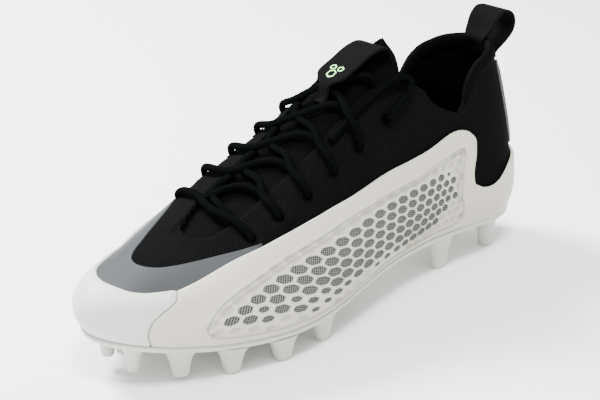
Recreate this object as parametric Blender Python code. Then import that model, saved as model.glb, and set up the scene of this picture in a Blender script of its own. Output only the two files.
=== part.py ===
"""Left american football cleat: a hollow knit upper in a moulded shell with a honeycomb window, on a studded sole.

Metres, +Z up, toe towards -Y, the wearer's left (the outer side of this left shoe) towards +X.
The origin is the middle of the bounding box at the floor.
"""

import math

import bmesh
import bpy
import numpy as np
from mathutils import Vector
from mathutils.geometry import delaunay_2d_cdt

# Driving sizes
LENGTH = 0.302
BALL_WIDTH = 0.101
INSTEP_HEIGHT = 0.107
BED_HEIGHT = 0.023
WIDE_HEIGHT = 0.018
TUCK = 0.006
ARCH_LIFT = 0.002

# Walls and clearances
UPPER_WALL = 0.0018
SHELL_WALL = 0.0015
FILM_WALL = 0.0006
FILM_GAP = 0.0012
PATCH_WALL = 0.0009
GAP = 0.0008
SEAM_GAP = 0.0005
TONGUE_THICK = 0.0032
INSOLE_THICK = 0.003
PLATE_THICK = 0.004
PLATE_EDGE = 0.003
RIM_OUT = 0.0032
RIM_BEVEL = 0.0007
SEAT_GAP = 0.0003
SHELL_FOOT = 0.0018

# Laces, straps and studs
LACE_WIDTH = 0.0034
EYELET_WIDTH = 0.0056
STRAP_WIDTH = 0.020
STRAP_THICK = 0.0018
LOOP_REACH = 0.0195
TAB_WIDTH = 0.021
TAB_RISE = 0.0060
TONGUE_DROP = 0.0055
STUD_SIDES = 8

# Mesh fineness
FACET = 0.0095
RING_STEP = 0.0075
SHEET_STEP = 0.014
LACE_STEP = 0.0062
LACE_SIDES = 6

FORM_LENGTH = LENGTH - 2 * (SHELL_WALL + GAP)
HALF_BALL = BALL_WIDTH / 2 - SHELL_WALL - GAP
TOE_Y = -FORM_LENGTH / 2
TOE_FAN, HEEL_FAN, FAN_BLEND = 0.136, 0.835, 0.035
OPEN_REACH = 0.168

# Stations round the plan outline, from the middle of the heel by the lateral side, the toe and the medial side:
# along (share of the form length from the toe), across (share of half the ball width), tuck, wide (height of the
# widest place), upright (share of the rise) and flat (share of the reach)
STATIONS = (
    ("heel middle", 1.000, 0.02, 0.70, 1.00, 0.22, 0.30),
    ("heel lateral 1", 0.975, 0.43, 0.70, 1.00, 0.20, 0.30),
    ("heel lateral 2", 0.925, 0.60, 0.75, 1.00, 0.28, 0.30),
    ("heel lateral 3", 0.835, 0.635, 0.80, 0.98, 0.45, 0.32),
    ("waist lateral 1", 0.690, 0.655, 0.90, 0.94, 0.58, 0.35),
    ("waist lateral 2", 0.545, 0.79, 0.90, 0.83, 0.57, 0.40),
    ("ball lateral 1", 0.416, 0.96, 0.80, 0.78, 0.54, 0.45),
    ("ball lateral 2", 0.319, 1.00, 0.70, 0.72, 0.55, 0.50),
    ("ball lateral 3", 0.213, 0.88, 0.70, 0.67, 0.60, 0.50),
    ("toe lateral 1", 0.116, 0.65, 0.70, 0.61, 0.65, 0.50),
    ("toe lateral 2", 0.043, 0.36, 0.70, 0.60, 0.70, 0.50),
    ("toe tip", 0.000, -0.11, 0.70, 0.60, 0.70, 0.50),
    ("toe medial 2", 0.024, -0.49, 0.70, 0.58, 0.70, 0.50),
    ("toe medial 1", 0.097, -0.77, 0.70, 0.60, 0.66, 0.50),
    ("ball medial 3", 0.184, -0.95, 0.70, 0.69, 0.69, 0.54),
    ("ball medial 2", 0.271, -1.00, 0.70, 0.74, 0.76, 0.60),
    ("ball medial 1", 0.387, -0.90, 0.90, 0.78, 0.80, 0.62),
    ("waist medial 2", 0.525, -0.73, 1.20, 0.83, 0.78, 0.58),
    ("waist medial 1", 0.675, -0.65, 1.20, 0.94, 0.68, 0.42),
    ("heel medial 3", 0.835, -0.635, 0.80, 0.98, 0.50, 0.32),
    ("heel medial 2", 0.925, -0.58, 0.75, 1.00, 0.32, 0.30),
    ("heel medial 1", 0.975, -0.38, 0.70, 1.00, 0.25, 0.30),
)
# Foot bed: along (share of the form length), height (share of BED_HEIGHT)
BED = (
    (0.00, 1.22), (0.045, 1.125), (0.11, 0.99), (0.20, 0.86), (0.30, 0.80), (0.40, 0.835),
    (0.54, 1.00), (0.69, 1.08), (0.82, 1.055), (0.92, 1.01), (1.00, 0.975),
)
# Crown line over the foot: along, across (share of half the ball width), height (share of INSTEP_HEIGHT)
CROWN = (
    (0.040, -0.16, 0.461), (0.126, -0.21, 0.528), (0.193, -0.20, 0.598), (0.271, -0.19, 0.702),
    (0.348, -0.17, 0.812), (0.425, -0.14, 0.928), (0.503, -0.11, 1.058), (0.580, -0.07, 1.207),
    (0.677, -0.03, 1.405), (0.773, 0.00, 1.675), (0.851, 0.00, 1.810), (0.918, 0.00, 1.885),
)

# Edges of the panels: round (share of the way round), up (share of the wall from foot to crown)
THROAT_EDGE = (
    (0.383, 0.960), (0.384, 0.890), (0.380, 0.810), (0.372, 0.765), (0.362, 0.750), (0.347, 0.750),
    (0.324, 0.765), (0.294, 0.785), (0.266, 0.795), (0.240, 0.820), (0.215, 0.825), (0.196, 0.810),
    (0.180, 0.760), (0.168, 0.700), (0.157, 0.640), (0.148, 0.560), (0.137, 0.500), (0.126, 0.460),
    (0.118, 0.440), (0.111, 0.460), (0.105, 0.510), (0.099, 0.560), (0.089, 0.590), (0.068, 0.602),
    (0.034, 0.605), (0.000, 0.605), (-0.034, 0.605), (-0.068, 0.602), (-0.089, 0.590), (-0.099, 0.560),
    (-0.105, 0.510), (-0.112, 0.460), (-0.119, 0.440), (-0.128, 0.460), (-0.140, 0.500), (-0.153, 0.560),
    (-0.165, 0.640), (-0.177, 0.710), (-0.190, 0.780), (-0.205, 0.840), (-0.225, 0.880), (-0.250, 0.900),
    (-0.280, 0.920), (-0.310, 0.940), (-0.335, 0.950), (-0.352, 0.945), (-0.364, 0.960),
)
SHELL_TOP = (
    (0.411, 0.495), (0.375, 0.535), (0.345, 0.527), (0.314, 0.522), (0.273, 0.506), (0.224, 0.474),
    (0.180, 0.430), (0.144, 0.400), (0.130, 0.393), (0.118, 0.378), (0.107, 0.350), (0.101, 0.315),
    (0.101, 0.275), (0.104, 0.200), (0.103, 0.170), (0.097, 0.150), (0.080, 0.130), (0.070, 0.138),
    (0.050, 0.180), (0.030, 0.195), (0.000, 0.198), (-0.030, 0.195), (-0.050, 0.180), (-0.070, 0.138),
    (-0.080, 0.130), (-0.097, 0.150), (-0.104, 0.170), (-0.106, 0.200), (-0.103, 0.275), (-0.104, 0.315),
    (-0.111, 0.345), (-0.123, 0.365), (-0.150, 0.370), (-0.190, 0.380), (-0.235, 0.400), (-0.280, 0.430),
    (-0.320, 0.470), (-0.355, 0.520), (-0.390, 0.540),
)
TOE_TOP = (
    (0.431, 0.478), (0.441, 0.477), (0.457, 0.470), (0.469, 0.476), (0.483, 0.503), (0.500, 0.518),
    (0.516, 0.527), (0.535, 0.538), (0.556, 0.546), (0.580, 0.548),
)
FILM_TOP = (
    (0.346, 0.550), (0.360, 0.572), (0.378, 0.615), (0.396, 0.660), (0.415, 0.705), (0.437, 0.755),
    (0.458, 0.805), (0.485, 0.850), (0.510, 0.868), (0.537, 0.868), (0.565, 0.850), (0.592, 0.813),
    (0.618, 0.757), (0.635, 0.722), (0.650, 0.660), (0.660, 0.580), (0.664, 0.520),
)
SEAM_LATERAL = (
    (0.427, 0.470), (0.4285, 0.425), (0.430, 0.393), (0.434, 0.365), (0.444, 0.302), (0.450, 0.247),
    (0.453, 0.185), (0.452, 0.000),
)
SEAM_MEDIAL = (
    (0.588, 0.000), (0.588, 0.185), (0.590, 0.247), (0.594, 0.302), (0.600, 0.365), (0.602, 0.425), (0.602, 0.470),
)
TONGUE_EDGE = (
    (0.392, 0.960), (0.396, 0.850), (0.389, 0.740), (0.375, 0.660), (0.350, 0.600), (0.315, 0.600),
    (0.270, 0.620), (0.230, 0.640), (0.200, 0.670), (0.183, 0.740), (0.182, 0.830), (0.187, 0.930),
    (-0.190, 0.985), (-0.190, 0.880), (-0.192, 0.760), (-0.205, 0.700), (-0.235, 0.690), (-0.280, 0.710),
    (-0.320, 0.750), (-0.355, 0.800), (-0.378, 0.860), (-0.384, 0.940),
)
PATCH_EDGE = (
    (0.030, 0.235), (0.000, 0.240), (-0.030, 0.235), (-0.034, 0.300), (-0.037, 0.400), (-0.035, 0.480),
    (-0.020, 0.500), (0.000, 0.502), (0.020, 0.500), (0.035, 0.480), (0.037, 0.400), (0.034, 0.300),
)
EYELETS = (
    (0.351, 0.611), (0.324, 0.624), (0.295, 0.632), (0.265, 0.649), (0.234, 0.656), (0.201, 0.666),
    (-0.350, 0.690), (-0.325, 0.730), (-0.300, 0.765), (-0.275, 0.790), (-0.249, 0.800), (-0.220, 0.770),
)

# Honeycomb window: place of each hole of the top row (number, round), its height (round, share of WIDE_HEIGHT)
HOLE_PLACES = ((-1, 0.404), (0, 0.392), (4, 0.344), (8, 0.282), (12, 0.214), (16, 0.158), (19, 0.128))
HOLE_HEIGHTS = (
    (0.100, 2.20), (0.136, 2.16), (0.170, 2.06), (0.214, 2.05), (0.265, 2.03), (0.299, 1.97),
    (0.330, 1.81), (0.356, 1.50), (0.380, 1.05), (0.392, 0.78), (0.404, 0.45),
)
HOLE_ROW = 0.0063
HOLE_FILL = 0.74
HOLE_TALL = 1.1
HOLE_FADE = 13
HOLE_ROWS = 6
HOLE_LAST = 18.4
HOLE_LOWEST = 0.0048
MEDIAL_FIRST, MEDIAL_LAST, MEDIAL_ROWS = 4, 12, 3

# Studs: name, along and across (shares as in STATIONS), tip height over the floor, tip half length and half width
# (shares of BALL_WIDTH), turn of the tip from straight ahead in degrees
STUDS = (
    ("heel_back_lateral", 0.918, 0.37, 0.0, 0.064, 0.048, 20),
    ("heel_back_medial", 0.918, -0.34, 0.0, 0.064, 0.048, -20),
    ("heel_front_lateral", 0.770, 0.42, 0.0, 0.074, 0.045, 4),
    ("heel_front_medial", 0.770, -0.41, 0.0, 0.074, 0.045, -4),
    ("fore_4_lateral", 0.400, 0.78, 0.0, 0.069, 0.042, 12),
    ("fore_4_medial", 0.385, -0.70, 0.0, 0.069, 0.042, -12),
    ("fore_3_lateral", 0.300, 0.81, 0.0, 0.069, 0.050, 0),
    ("fore_3_medial", 0.285, -0.81, 0.0, 0.069, 0.050, 0),
    ("fore_2_lateral", 0.205, 0.66, 0.0, 0.064, 0.051, -16),
    ("fore_2_medial", 0.195, -0.73, 0.0, 0.064, 0.051, 16),
    ("fore_1_lateral", 0.122, 0.44, 0.0028, 0.059, 0.045, -30),
    ("fore_1_medial", 0.112, -0.56, 0.0028, 0.059, 0.045, 30),
    ("toe_lateral", 0.062, 0.13, 0.0060, 0.045, 0.040, -60),
    ("toe_medial", 0.058, -0.29, 0.0070, 0.045, 0.040, 60),
)
STUD_FLARE_LONG, STUD_FLARE_WIDE = 1.70, 1.25
STUD_SHAPE = ((0.35, 1.18), (0.92, 1.00))

# Routes of the laces: round, up, lift over the skin in lace widths, one row for each point, chosen by hand
LACE_BAR = (
    (0.351, 0.611, 0.68), (0.356, 0.680, 0.85), (0.361, 0.770, 0.75), (0.366, 0.900, 0.66), (-0.355, 0.960, 0.70),
    (-0.352, 0.860, 0.80), (-0.350, 0.760, 0.85), (-0.350, 0.690, 0.68),
)
OVER_LIFT, HIGH_LIFT, CROSS_LIFT, END_LIFT = 1.35, 2.05, 0.10, 0.05
EDGE_SHORT = 0.020
PAST_EDGE, PAST_UP, PAST_LIFT = 0.25, 0.28, 0.45
LACE_END = (
    (0.201, 0.666, 0.70), (0.193, 0.690, 1.20), (0.184, 0.700, 1.30), (0.175, 0.705, 1.25), (0.172, 0.735, 1.30),
    (0.180, 0.775, 1.30), (0.195, 0.795, 1.00), (0.214, 0.795, 0.68), (0.236, 0.785, 0.62), (0.256, 0.770, 0.62),
)
# Heel loop: up (share of the wall), lift (share of LOOP_REACH), wrap (1 follows the round of the heel, 0 is flat)
HEEL_LOOP = (
    (0.512, 0.095, 1.0), (0.524, 0.105, 1.0), (0.536, 0.210, 0.7), (0.547, 0.460, 0.3), (0.559, 0.760, 0.1),
    (0.576, 0.950, 0.0), (0.602, 1.000, 0.0), (0.624, 0.870, 0.0), (0.636, 0.580, 0.1), (0.638, 0.300, 0.3),
    (0.632, 0.040, 0.6), (0.610, -0.185, 0.9), (0.580, -0.195, 1.0), (0.545, -0.195, 1.0),
)
# Tab over the tongue: along (share of the form length), lift over the crown line (share of TAB_RISE), width (share
# of TAB_WIDTH)
TONGUE_TAB = (
    (0.511, -0.20, 0.35), (0.517, -0.20, 0.35), (0.521, 0.02, 0.38), (0.5235, 0.50, 0.36), (0.527, 0.88, 0.46),
    (0.536, 1.00, 0.85), (0.549, 0.88, 1.00), (0.576, 0.53, 1.00), (0.601, 0.28, 1.00), (0.621, -0.07, 1.00),
    (0.645, -0.87, 1.00), (0.659, -1.92, 1.00), (0.661, -2.50, 1.00),
)
TAB_MIDDLE = -0.0008


def bends(x, y):
    """Second derivatives at the knots of the natural cubic spline through the rows of y."""
    n = len(x)
    h = np.diff(x)
    a, b = np.zeros((n, n)), np.zeros(y.shape)
    a[0, 0] = a[-1, -1] = 1
    for i in range(1, n - 1):
        a[i, i - 1:i + 2] = h[i - 1], 2 * (h[i - 1] + h[i]), h[i]
        b[i] = 6 * ((y[i + 1] - y[i]) / h[i] - (y[i] - y[i - 1]) / h[i - 1])
    return np.linalg.solve(a, b)


def spline(q, x, y, slope=False):
    """The natural cubic spline through (x, y) at q: y_i + c t + m_i t^2/2 + (m_j - m_i) t^3 / 6h."""
    x, y, q = np.asarray(x, float), np.asarray(y, float), np.asarray(q, float)
    m = bends(x, y)
    i = np.clip(np.searchsorted(x, q) - 1, 0, len(x) - 2)
    h, t = x[i + 1] - x[i], q - x[i]
    if y.ndim > 1:
        h, t = h[..., None], t[..., None]
    c = (y[i + 1] - y[i]) / h - h * (2 * m[i] + m[i + 1]) / 6
    if slope:
        return c + m[i] * t + (m[i + 1] - m[i]) / (2 * h) * t ** 2
    return y[i] + c * t + m[i] / 2 * t ** 2 + (m[i + 1] - m[i]) / (6 * h) * t ** 3


def station_rows():
    """STATIONS in metres, without the names and with the first row repeated at the end."""
    rows = np.array([row[1:] for row in STATIONS])
    rows[:, 0] = TOE_Y + rows[:, 0] * FORM_LENGTH
    rows[:, 1] *= HALF_BALL
    rows[:, 2] *= TUCK
    rows[:, 3] *= WIDE_HEIGHT
    return np.vstack([rows, rows[:1]])


ROWS = station_rows()
KNOTS = np.concatenate([[0], np.cumsum(np.hypot(*np.diff(ROWS[:, :2], axis=0).T))])
PERIMETER = KNOTS[-1]
KNOTS = KNOTS / PERIMETER
CROWN_ROWS = np.array(CROWN) * (FORM_LENGTH, HALF_BALL, INSTEP_HEIGHT) + (TOE_Y, 0, 0)
BED_ROWS = np.array(BED) * (FORM_LENGTH, BED_HEIGHT) + (TOE_Y, 0)


def station(u):
    """The columns of STATIONS at the share u of the way round, by a spline that closes on itself."""
    k = 3
    x = np.concatenate([KNOTS[-1 - k:-1] - 1, KNOTS, KNOTS[1:1 + k] + 1])
    y = np.concatenate([ROWS[-1 - k:-1], ROWS, ROWS[1:1 + k]])
    return spline(np.asarray(u) % 1.0, x, y)


def bed(x, y):
    """Height of the foot bed: the spline of BED, and ARCH_LIFT more on the medial side of the waist."""
    arch = np.exp(-((y - 0.05 * LENGTH) / (0.16 * LENGTH)) ** 2)
    side = 1 / (1 + np.exp(x / (0.2 * HALF_BALL)))
    return spline(y, BED_ROWS[:, 0], BED_ROWS[:, 1]) + ARCH_LIFT * arch * side


def spine(y):
    """y kept between the two fan centres, with a soft turn at each: s = lo + k ln(1 + e^((y - lo)/k))."""
    lo = TOE_Y + TOE_FAN * FORM_LENGTH
    hi = TOE_Y + HEEL_FAN * FORM_LENGTH
    k = FAN_BLEND * FORM_LENGTH
    y = lo + k * np.logaddexp(0, (y - lo) / k)
    return hi - k * np.logaddexp(0, (hi - y) / k)


def profiles(u, low=6, high=30):
    """For each u the foot point, the way in to the crown line, the distance to it, and the wall's curve.

    The curve is (reach, height): a quadratic from the tucked foot to the widest place, then a cubic to the crown
    whose handles are `upright` of the rise and `flat` of the reach.
    """
    y, x, tuck, wide, upright, flat = station(u).T
    crown_y = spine(y)
    crown_x, crown_z = spline(crown_y, CROWN_ROWS[:, 0], CROWN_ROWS[:, 1:]).T
    grade = spline(crown_y, CROWN_ROWS[:, 0], CROWN_ROWS[:, 2], slope=True)
    foot = bed(x, y)
    start = np.stack([x, y], 1)
    way = np.stack([crown_x, crown_y], 1) - start
    reach = np.hypot(*way.T)
    way = way / reach[:, None]
    rise = grade * way[:, 1] * reach * flat
    wide = foot + wide
    zero = 0 * reach
    t = np.linspace(0, 1, low, endpoint=False)[None, :, None]
    ends = ((tuck, foot), (zero, foot + 0.45 * (wide - foot)), (zero, wide))
    a, b, c = (np.stack(p, 1)[:, None] for p in ends)
    under = (1 - t) ** 2 * a + 2 * t * (1 - t) * b + t ** 2 * c
    t = np.linspace(0, 1, high)[None, :, None]
    ends = ((zero, wide + upright * (crown_z - wide)), (reach * (1 - flat), crown_z - rise), (reach, crown_z))
    b, q, e = (np.stack(p, 1)[:, None] for p in ends)
    over = (1 - t) ** 3 * c + 3 * t * (1 - t) ** 2 * b + 3 * t ** 2 * (1 - t) * q + t ** 3 * e
    return start, way, reach, np.concatenate([under, over], 1)


def lengths(curve):
    step = np.hypot(*np.moveaxis(np.diff(curve, axis=1), 2, 0))
    return np.concatenate([np.zeros((len(curve), 1)), np.cumsum(step, 1)], 1)


def rows_of(u, h):
    return np.atleast_1d(np.asarray(u, float)), np.atleast_1d(np.asarray(h, float))


def point(u, h):
    """The upper's outer skin at the share u round and the length h up the wall."""
    u, h = rows_of(u, h)
    start, way, _, curve = profiles(u)
    arc = lengths(curve)
    i = np.clip((arc < h[:, None]).sum(1) - 1, 0, curve.shape[1] - 2)
    n = np.arange(len(u))
    t = (h - arc[n, i]) / (arc[n, i + 1] - arc[n, i])
    reach, z = (curve[n, i] + t[:, None] * (curve[n, i + 1] - curve[n, i])).T
    return np.column_stack([start + way * reach[:, None], z])


def full(u):
    """Length of the whole wall, from its foot to the crown, at u."""
    return lengths(profiles(np.atleast_1d(np.asarray(u, float)))[3])[:, -1]


def skin(u, h, lift=0.0):
    """point(u, h) moved out by lift along the skin's normal, which is the cross of its two slopes."""
    u, h = rows_of(u, h)
    step_u, step_h = 5e-4, 1e-3
    round_way = point(u + step_u, h) - point(u - step_u, h)
    up_way = point(u, h + step_h) - point(u, h - step_h)
    normal = np.cross(up_way, round_way)
    normal /= np.linalg.norm(normal, axis=1, keepdims=True)
    return point(u, h) + normal * np.asarray(lift, float).reshape(-1, 1)


def crown_map(u):
    """For each u the crown point, the way to it and the wall's length, softly kept under OPEN_REACH."""
    start, way, reach, curve = profiles(u)
    soft = 0.004
    whole = OPEN_REACH - soft * np.logaddexp(0, (OPEN_REACH - lengths(curve)[:, -1]) / soft)
    return start + way * reach[:, None], way, whole


def unrolled(u, h):
    """Flat map of the skin: each wall laid out straight from the crown line, so that edges may cross that line."""
    u, h = rows_of(u, h)
    crown, way, whole = crown_map(u)
    return crown - way * (whole - h)[:, None]


MAP_U = np.arange(4000) / 4000
MAP_CROWN, MAP_WAY, MAP_WHOLE = crown_map(MAP_U)


def folded(places):
    """(u, h) of places on the flat map: u where the place lies on its wall's line, found between two map lines."""
    found = []
    for place in places:
        away = place - MAP_CROWN
        off = away[:, 0] * MAP_WAY[:, 1] - away[:, 1] * MAP_WAY[:, 0]
        out = -(away * MAP_WAY).sum(1)
        turn = (off * np.roll(off, -1) <= 0) & (out > -1e-4)
        if not turn.any():
            turn = np.abs(off) == np.abs(off[out > -1e-4]).min()
        i = np.flatnonzero(turn)
        i = i[np.argmin(np.abs(off[i]) - 0.001 * out[i])]
        j = (i + 1) % len(MAP_U)
        t = off[i] / (off[i] - off[j]) if off[i] != off[j] else 0.0
        t = min(max(t, 0.0), 1.0)
        u = (MAP_U[i] + t / len(MAP_U)) % 1
        found.append((u, MAP_WHOLE[i] + t * (MAP_WHOLE[j] - MAP_WHOLE[i]) - max(out[i] + t * (out[j] - out[i]), 0)))
    return np.array(found)


def edge_curve(table, step=RING_STEP, closed=False):
    """Points every `step` along a smooth curve through a table of (round, up) shares, as (u, h)."""
    rows = np.array(table)
    if closed:
        rows = np.vstack([rows, rows[:1]])
    knots = unrolled(rows[:, 0], rows[:, 1] * full(rows[:, 0]))
    chords = np.concatenate([[0], np.cumsum(np.linalg.norm(np.diff(knots, axis=0), axis=1))])
    q = np.linspace(0, chords[-1], 12 * len(rows))
    curve = rounded(chords, knots, q, closed)
    places = point(*folded(curve).T)
    walk = np.concatenate([[0], np.cumsum(np.linalg.norm(np.diff(places, axis=0), axis=1))])
    marks = np.linspace(0, walk[-1], max(2, round(walk[-1] / step)) + 1)
    q = np.interp(marks, walk, q)
    found = folded(rounded(chords, knots, q, closed))
    return found[:-1] if closed else found


def rounded(chords, rows, q, closed):
    """Rows at q by a Hermite curve whose slopes are the means of the neighbouring chords' slopes, by their lengths."""
    h = np.diff(chords)[:, None]
    grade = np.diff(rows, axis=0) / h
    ends = (grade[-1:], grade[:1], h[-1:], h[:1]) if closed else (grade[:1], grade[-1:], h[:1], h[-1:])
    before, after = np.vstack([ends[0], grade]), np.vstack([grade, ends[1]])
    h_before, h_after = np.vstack([ends[2], h]), np.vstack([h, ends[3]])
    slope = (before * h_after + after * h_before) / (h_before + h_after)
    i = np.clip(np.searchsorted(chords, q, side="right") - 1, 0, len(chords) - 2)
    h = h[i]
    t = (q - chords[i])[:, None] / h
    return (
        (1 + 2 * t) * (1 - t) ** 2 * rows[i] + t * (1 - t) ** 2 * h * slope[i]
        + t ** 2 * (3 - 2 * t) * rows[i + 1] - t ** 2 * (1 - t) * h * slope[i + 1]
    )


def inside(places, loops):
    """Which places lie within an odd number of the closed loops."""
    hit = np.zeros(len(places), bool)
    for loop in loops:
        a, b = loop, np.roll(loop, -1, axis=0)
        for (ax, ay), (bx, by) in zip(a, b):
            spans = (ay > places[:, 1]) != (by > places[:, 1])
            if not spans.any():
                continue
            cross = ax + (places[:, 1] - ay) * (bx - ax) / (by - ay if by != ay else 1)
            hit ^= spans & (places[:, 0] < cross)
    return hit


def nearest(places, others):
    """Distance from each place to the closest of the others."""
    return np.concatenate([
        np.sqrt(((chunk[:, None] - others[None]) ** 2).sum(-1).min(1))
        for chunk in np.array_split(places, max(1, len(places) // 200))
    ])


def lattice(step):
    """The (u, h) points that all panels share, about `step` apart on the skin, closer at the foot."""
    found = []
    levels = [0.35, 0.8] + list(np.arange(1.5, 1.4 * INSTEP_HEIGHT / step, 1.0))
    for number, level in enumerate(levels):
        h = level * step
        u = np.linspace(0, 1, 2000, endpoint=False)
        u = u[full(u) > h + 0.3 * step]
        places = point(u, np.full(len(u), h))
        gaps = np.linalg.norm(np.diff(places, axis=0), axis=1)
        walk = np.concatenate([[0], np.cumsum(np.where(gaps < 3 * step, gaps, 0))])
        marks = np.arange(0.5 * (number % 2), walk[-1] / step - 0.4, 1.0) * step
        found.append(np.column_stack([np.interp(marks, walk, u), np.full(len(marks), h)]))
    found = np.vstack(found)
    found = found[full(found[:, 0]) > found[:, 1] + 0.3 * step]
    places = point(*found.T)
    kept = []
    for i in range(len(found)):
        if not kept or np.linalg.norm(places[kept] - places[i], axis=1).min() > 0.7 * step:
            kept.append(i)
    return found[kept]


LATTICE = lattice(FACET)


def triangulated(loops, inner, flat_map):
    """Triangles over the region between the loops, with the inner points used where they fit."""
    rings = [flat_map(*loop.T) for loop in loops]
    flat = [Vector(p) for p in np.vstack(rings + [flat_map(*inner.T)])]
    edges, start = [], 0
    for ring in rings:
        n = len(ring)
        edges += [(start + i, start + (i + 1) % n) for i in range(n)]
        start += n
    out, _, faces, origins, _, _ = delaunay_2d_cdt(flat, edges, [], 0, 1e-7, True)
    points = np.vstack(list(loops) + [inner])
    if any(len(o) == 0 for o in origins):
        raise ValueError("two edges of a panel cross")
    points = points[[o[0] for o in origins]]
    places = np.array([tuple(p) for p in out])
    faces = np.array(faces)
    middle = places[faces].mean(1)
    faces = faces[inside(middle, rings)]
    used, faces = np.unique(faces, return_inverse=True)
    return points[used], faces.reshape(-1, 3)


def turned(places, faces):
    """The same sheet with its inner edges turned until the triangles are as even as they can be on the skin."""
    work = bmesh.new()
    verts = [work.verts.new(p) for p in places]
    for face in faces:
        work.faces.new([verts[i] for i in face])
    work.verts.index_update()
    for method in ("AREA", "ANGLE"):
        edges = [edge for edge in work.edges if not edge.is_boundary]
        bmesh.ops.beautify_fill(work, faces=work.faces, edges=edges, method=method)
    found = np.array([[v.index for v in face.verts] for face in work.faces])
    work.free()
    return found


def closed_wall(outer, inner, faces):
    """Verts and faces of the solid between two copies of one sheet, outer[i] over inner[i]."""
    n = len(outer)
    a, b, c = (outer[faces[:, k]] for k in range(3))
    up = np.einsum("ij,ij->i", np.cross(b - a, c - a), outer[faces].mean(1) - inner[faces].mean(1))
    faces = np.where((up < 0)[:, None], faces[:, ::-1], faces)
    edges = np.concatenate([faces[:, [0, 1]], faces[:, [1, 2]], faces[:, [2, 0]]])
    known = {tuple(e) for e in edges}
    rim = [e for e in known if (e[1], e[0]) not in known]
    sides = [(b, a, a + n, b + n) for a, b in rim]
    return np.vstack([outer, inner]), [tuple(f) for f in faces] + [tuple(f[::-1] + n) for f in faces] + sides


def panel_mesh(loops, lift_out, lift_in, sink=None, step=FACET):
    """The wall between two lifts over the region between the loops of (u, h), lowered by sink(u, h) where given."""
    rings = [unrolled(*loop.T) for loop in loops]
    flat = unrolled(*LATTICE.T)
    found = LATTICE[inside(flat, rings)]
    border = point(*np.vstack(loops).T)
    found = found[nearest(point(*found.T), border) > 0.5 * step] if len(found) else found
    points, faces = triangulated(loops, found, unrolled)
    faces = turned(point(*points.T), faces)
    drop = sink(*points.T) if sink else 0.0
    return closed_wall(skin(*points.T, lift_out - drop), skin(*points.T, lift_in - drop), faces)


def foot_ring(h=0.0, step=RING_STEP):
    count = round(PERIMETER / step)
    u = np.arange(count) / count
    return np.column_stack([u, np.full(count, h)])


def oval(u, h, half_round, half_up, sides=6, turn=0.0):
    """A closed ring of points about (u, h), its half sizes in metres on the skin."""
    here = point([u, u + 1e-3], [h, h])
    scale = np.linalg.norm(here[1] - here[0]) / 1e-3
    a = turn + 2 * np.pi * np.arange(sides) / sides
    return np.column_stack([u + half_round * np.cos(a) / scale, h + half_up * np.sin(a)])


# Materials: colour, roughness
FINISHES = {
    "black_knit": ((0.012, 0.012, 0.013), 0.85),
    "black_smooth": ((0.016, 0.017, 0.017), 0.6),
    "lace_black": ((0.020, 0.022, 0.021), 0.65),
    "shell_white": ((0.78, 0.77, 0.72), 0.35),
    "toe_white": ((0.80, 0.80, 0.77), 0.32),
    "film_grey": ((0.22, 0.235, 0.245), 0.4),
    "sole_white": ((0.74, 0.74, 0.70), 0.35),
    "insole_black": ((0.02, 0.02, 0.02), 0.8),
}


def material(name):
    colour, roughness = FINISHES[name]
    made = bpy.data.materials.get(name) or bpy.data.materials.new(name)
    made.use_nodes = True
    shader = made.node_tree.nodes["Principled BSDF"]
    shader.inputs["Base Color"].default_value = (*colour, 1)
    shader.inputs["Roughness"].default_value = roughness
    made.diffuse_color = (*colour, 1)
    return made


def solid(name, verts, faces, finish):
    """A mesh object with its material, its faces turned outward."""
    mesh = bpy.data.meshes.new(name)
    mesh.from_pydata([tuple(v) for v in verts], [], faces)
    work = bmesh.new()
    work.from_mesh(mesh)
    bmesh.ops.triangulate(work, faces=work.faces)
    bmesh.ops.recalc_face_normals(work, faces=work.faces)
    work.to_mesh(mesh)
    work.free()
    mesh.materials.append(material(finish))
    made = bpy.data.objects.new(name, mesh)
    bpy.context.scene.collection.objects.link(made)
    return made


def make_upper():
    """The knit upper: one wall, open underneath and at the throat and collar, with twelve eyelet holes."""
    holes = [oval(u % 1, v * full(u % 1)[0], EYELET_WIDTH / 2, EYELET_WIDTH / 2, 8) for u, v in EYELETS]
    loops = [foot_ring(), edge_curve(THROAT_EDGE, closed=True)] + holes
    return solid("upper", *panel_mesh(loops, 0.0, -UPPER_WALL), "black_knit")


def hole_row(round_share):
    rows = np.array(HOLE_HEIGHTS)
    return spline(round_share, rows[:, 0], rows[:, 1]) * WIDE_HEIGHT


def window_holes(first, last, count, mirror=False):
    """Six-sided holes of the honeycomb, each row half a place behind the one above."""
    places = np.array(HOLE_PLACES)
    found = []
    for j in range(count):
        for i in range(first, math.ceil(last) + 1):
            number = i + 0.5 * (j % 2)
            if number > last:
                continue
            u, beside = spline([number, number + 0.5], places[:, 0], places[:, 1])
            h = hole_row(u) - j * HOLE_ROW
            if h < HOLE_LOWEST or (number > last - 2 and h < 0.019):
                continue
            half_round = HOLE_FILL * abs(beside - u) * PERIMETER
            half_up = HOLE_TALL * HOLE_FILL * HOLE_ROW / math.sqrt(3)
            shrink = min(1.0, 0.55 + 0.45 * (h - HOLE_LOWEST) / HOLE_ROW)
            if number > HOLE_FADE:
                shrink *= 1 - 0.05 * (number - HOLE_FADE)
            u = 1 - u if mirror else u
            found.append(oval(u, h, half_round * shrink, half_up * shrink))
    return found


def foot_run(start, end):
    """Foot points of the shell from the share `start` round to `end`, without both ends."""
    count = round(abs(end - start) * PERIMETER / RING_STEP)
    u = np.linspace(start, end, count + 1)[1:-1] % 1
    return np.column_stack([u, np.full(len(u), SHELL_FOOT)])


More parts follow.
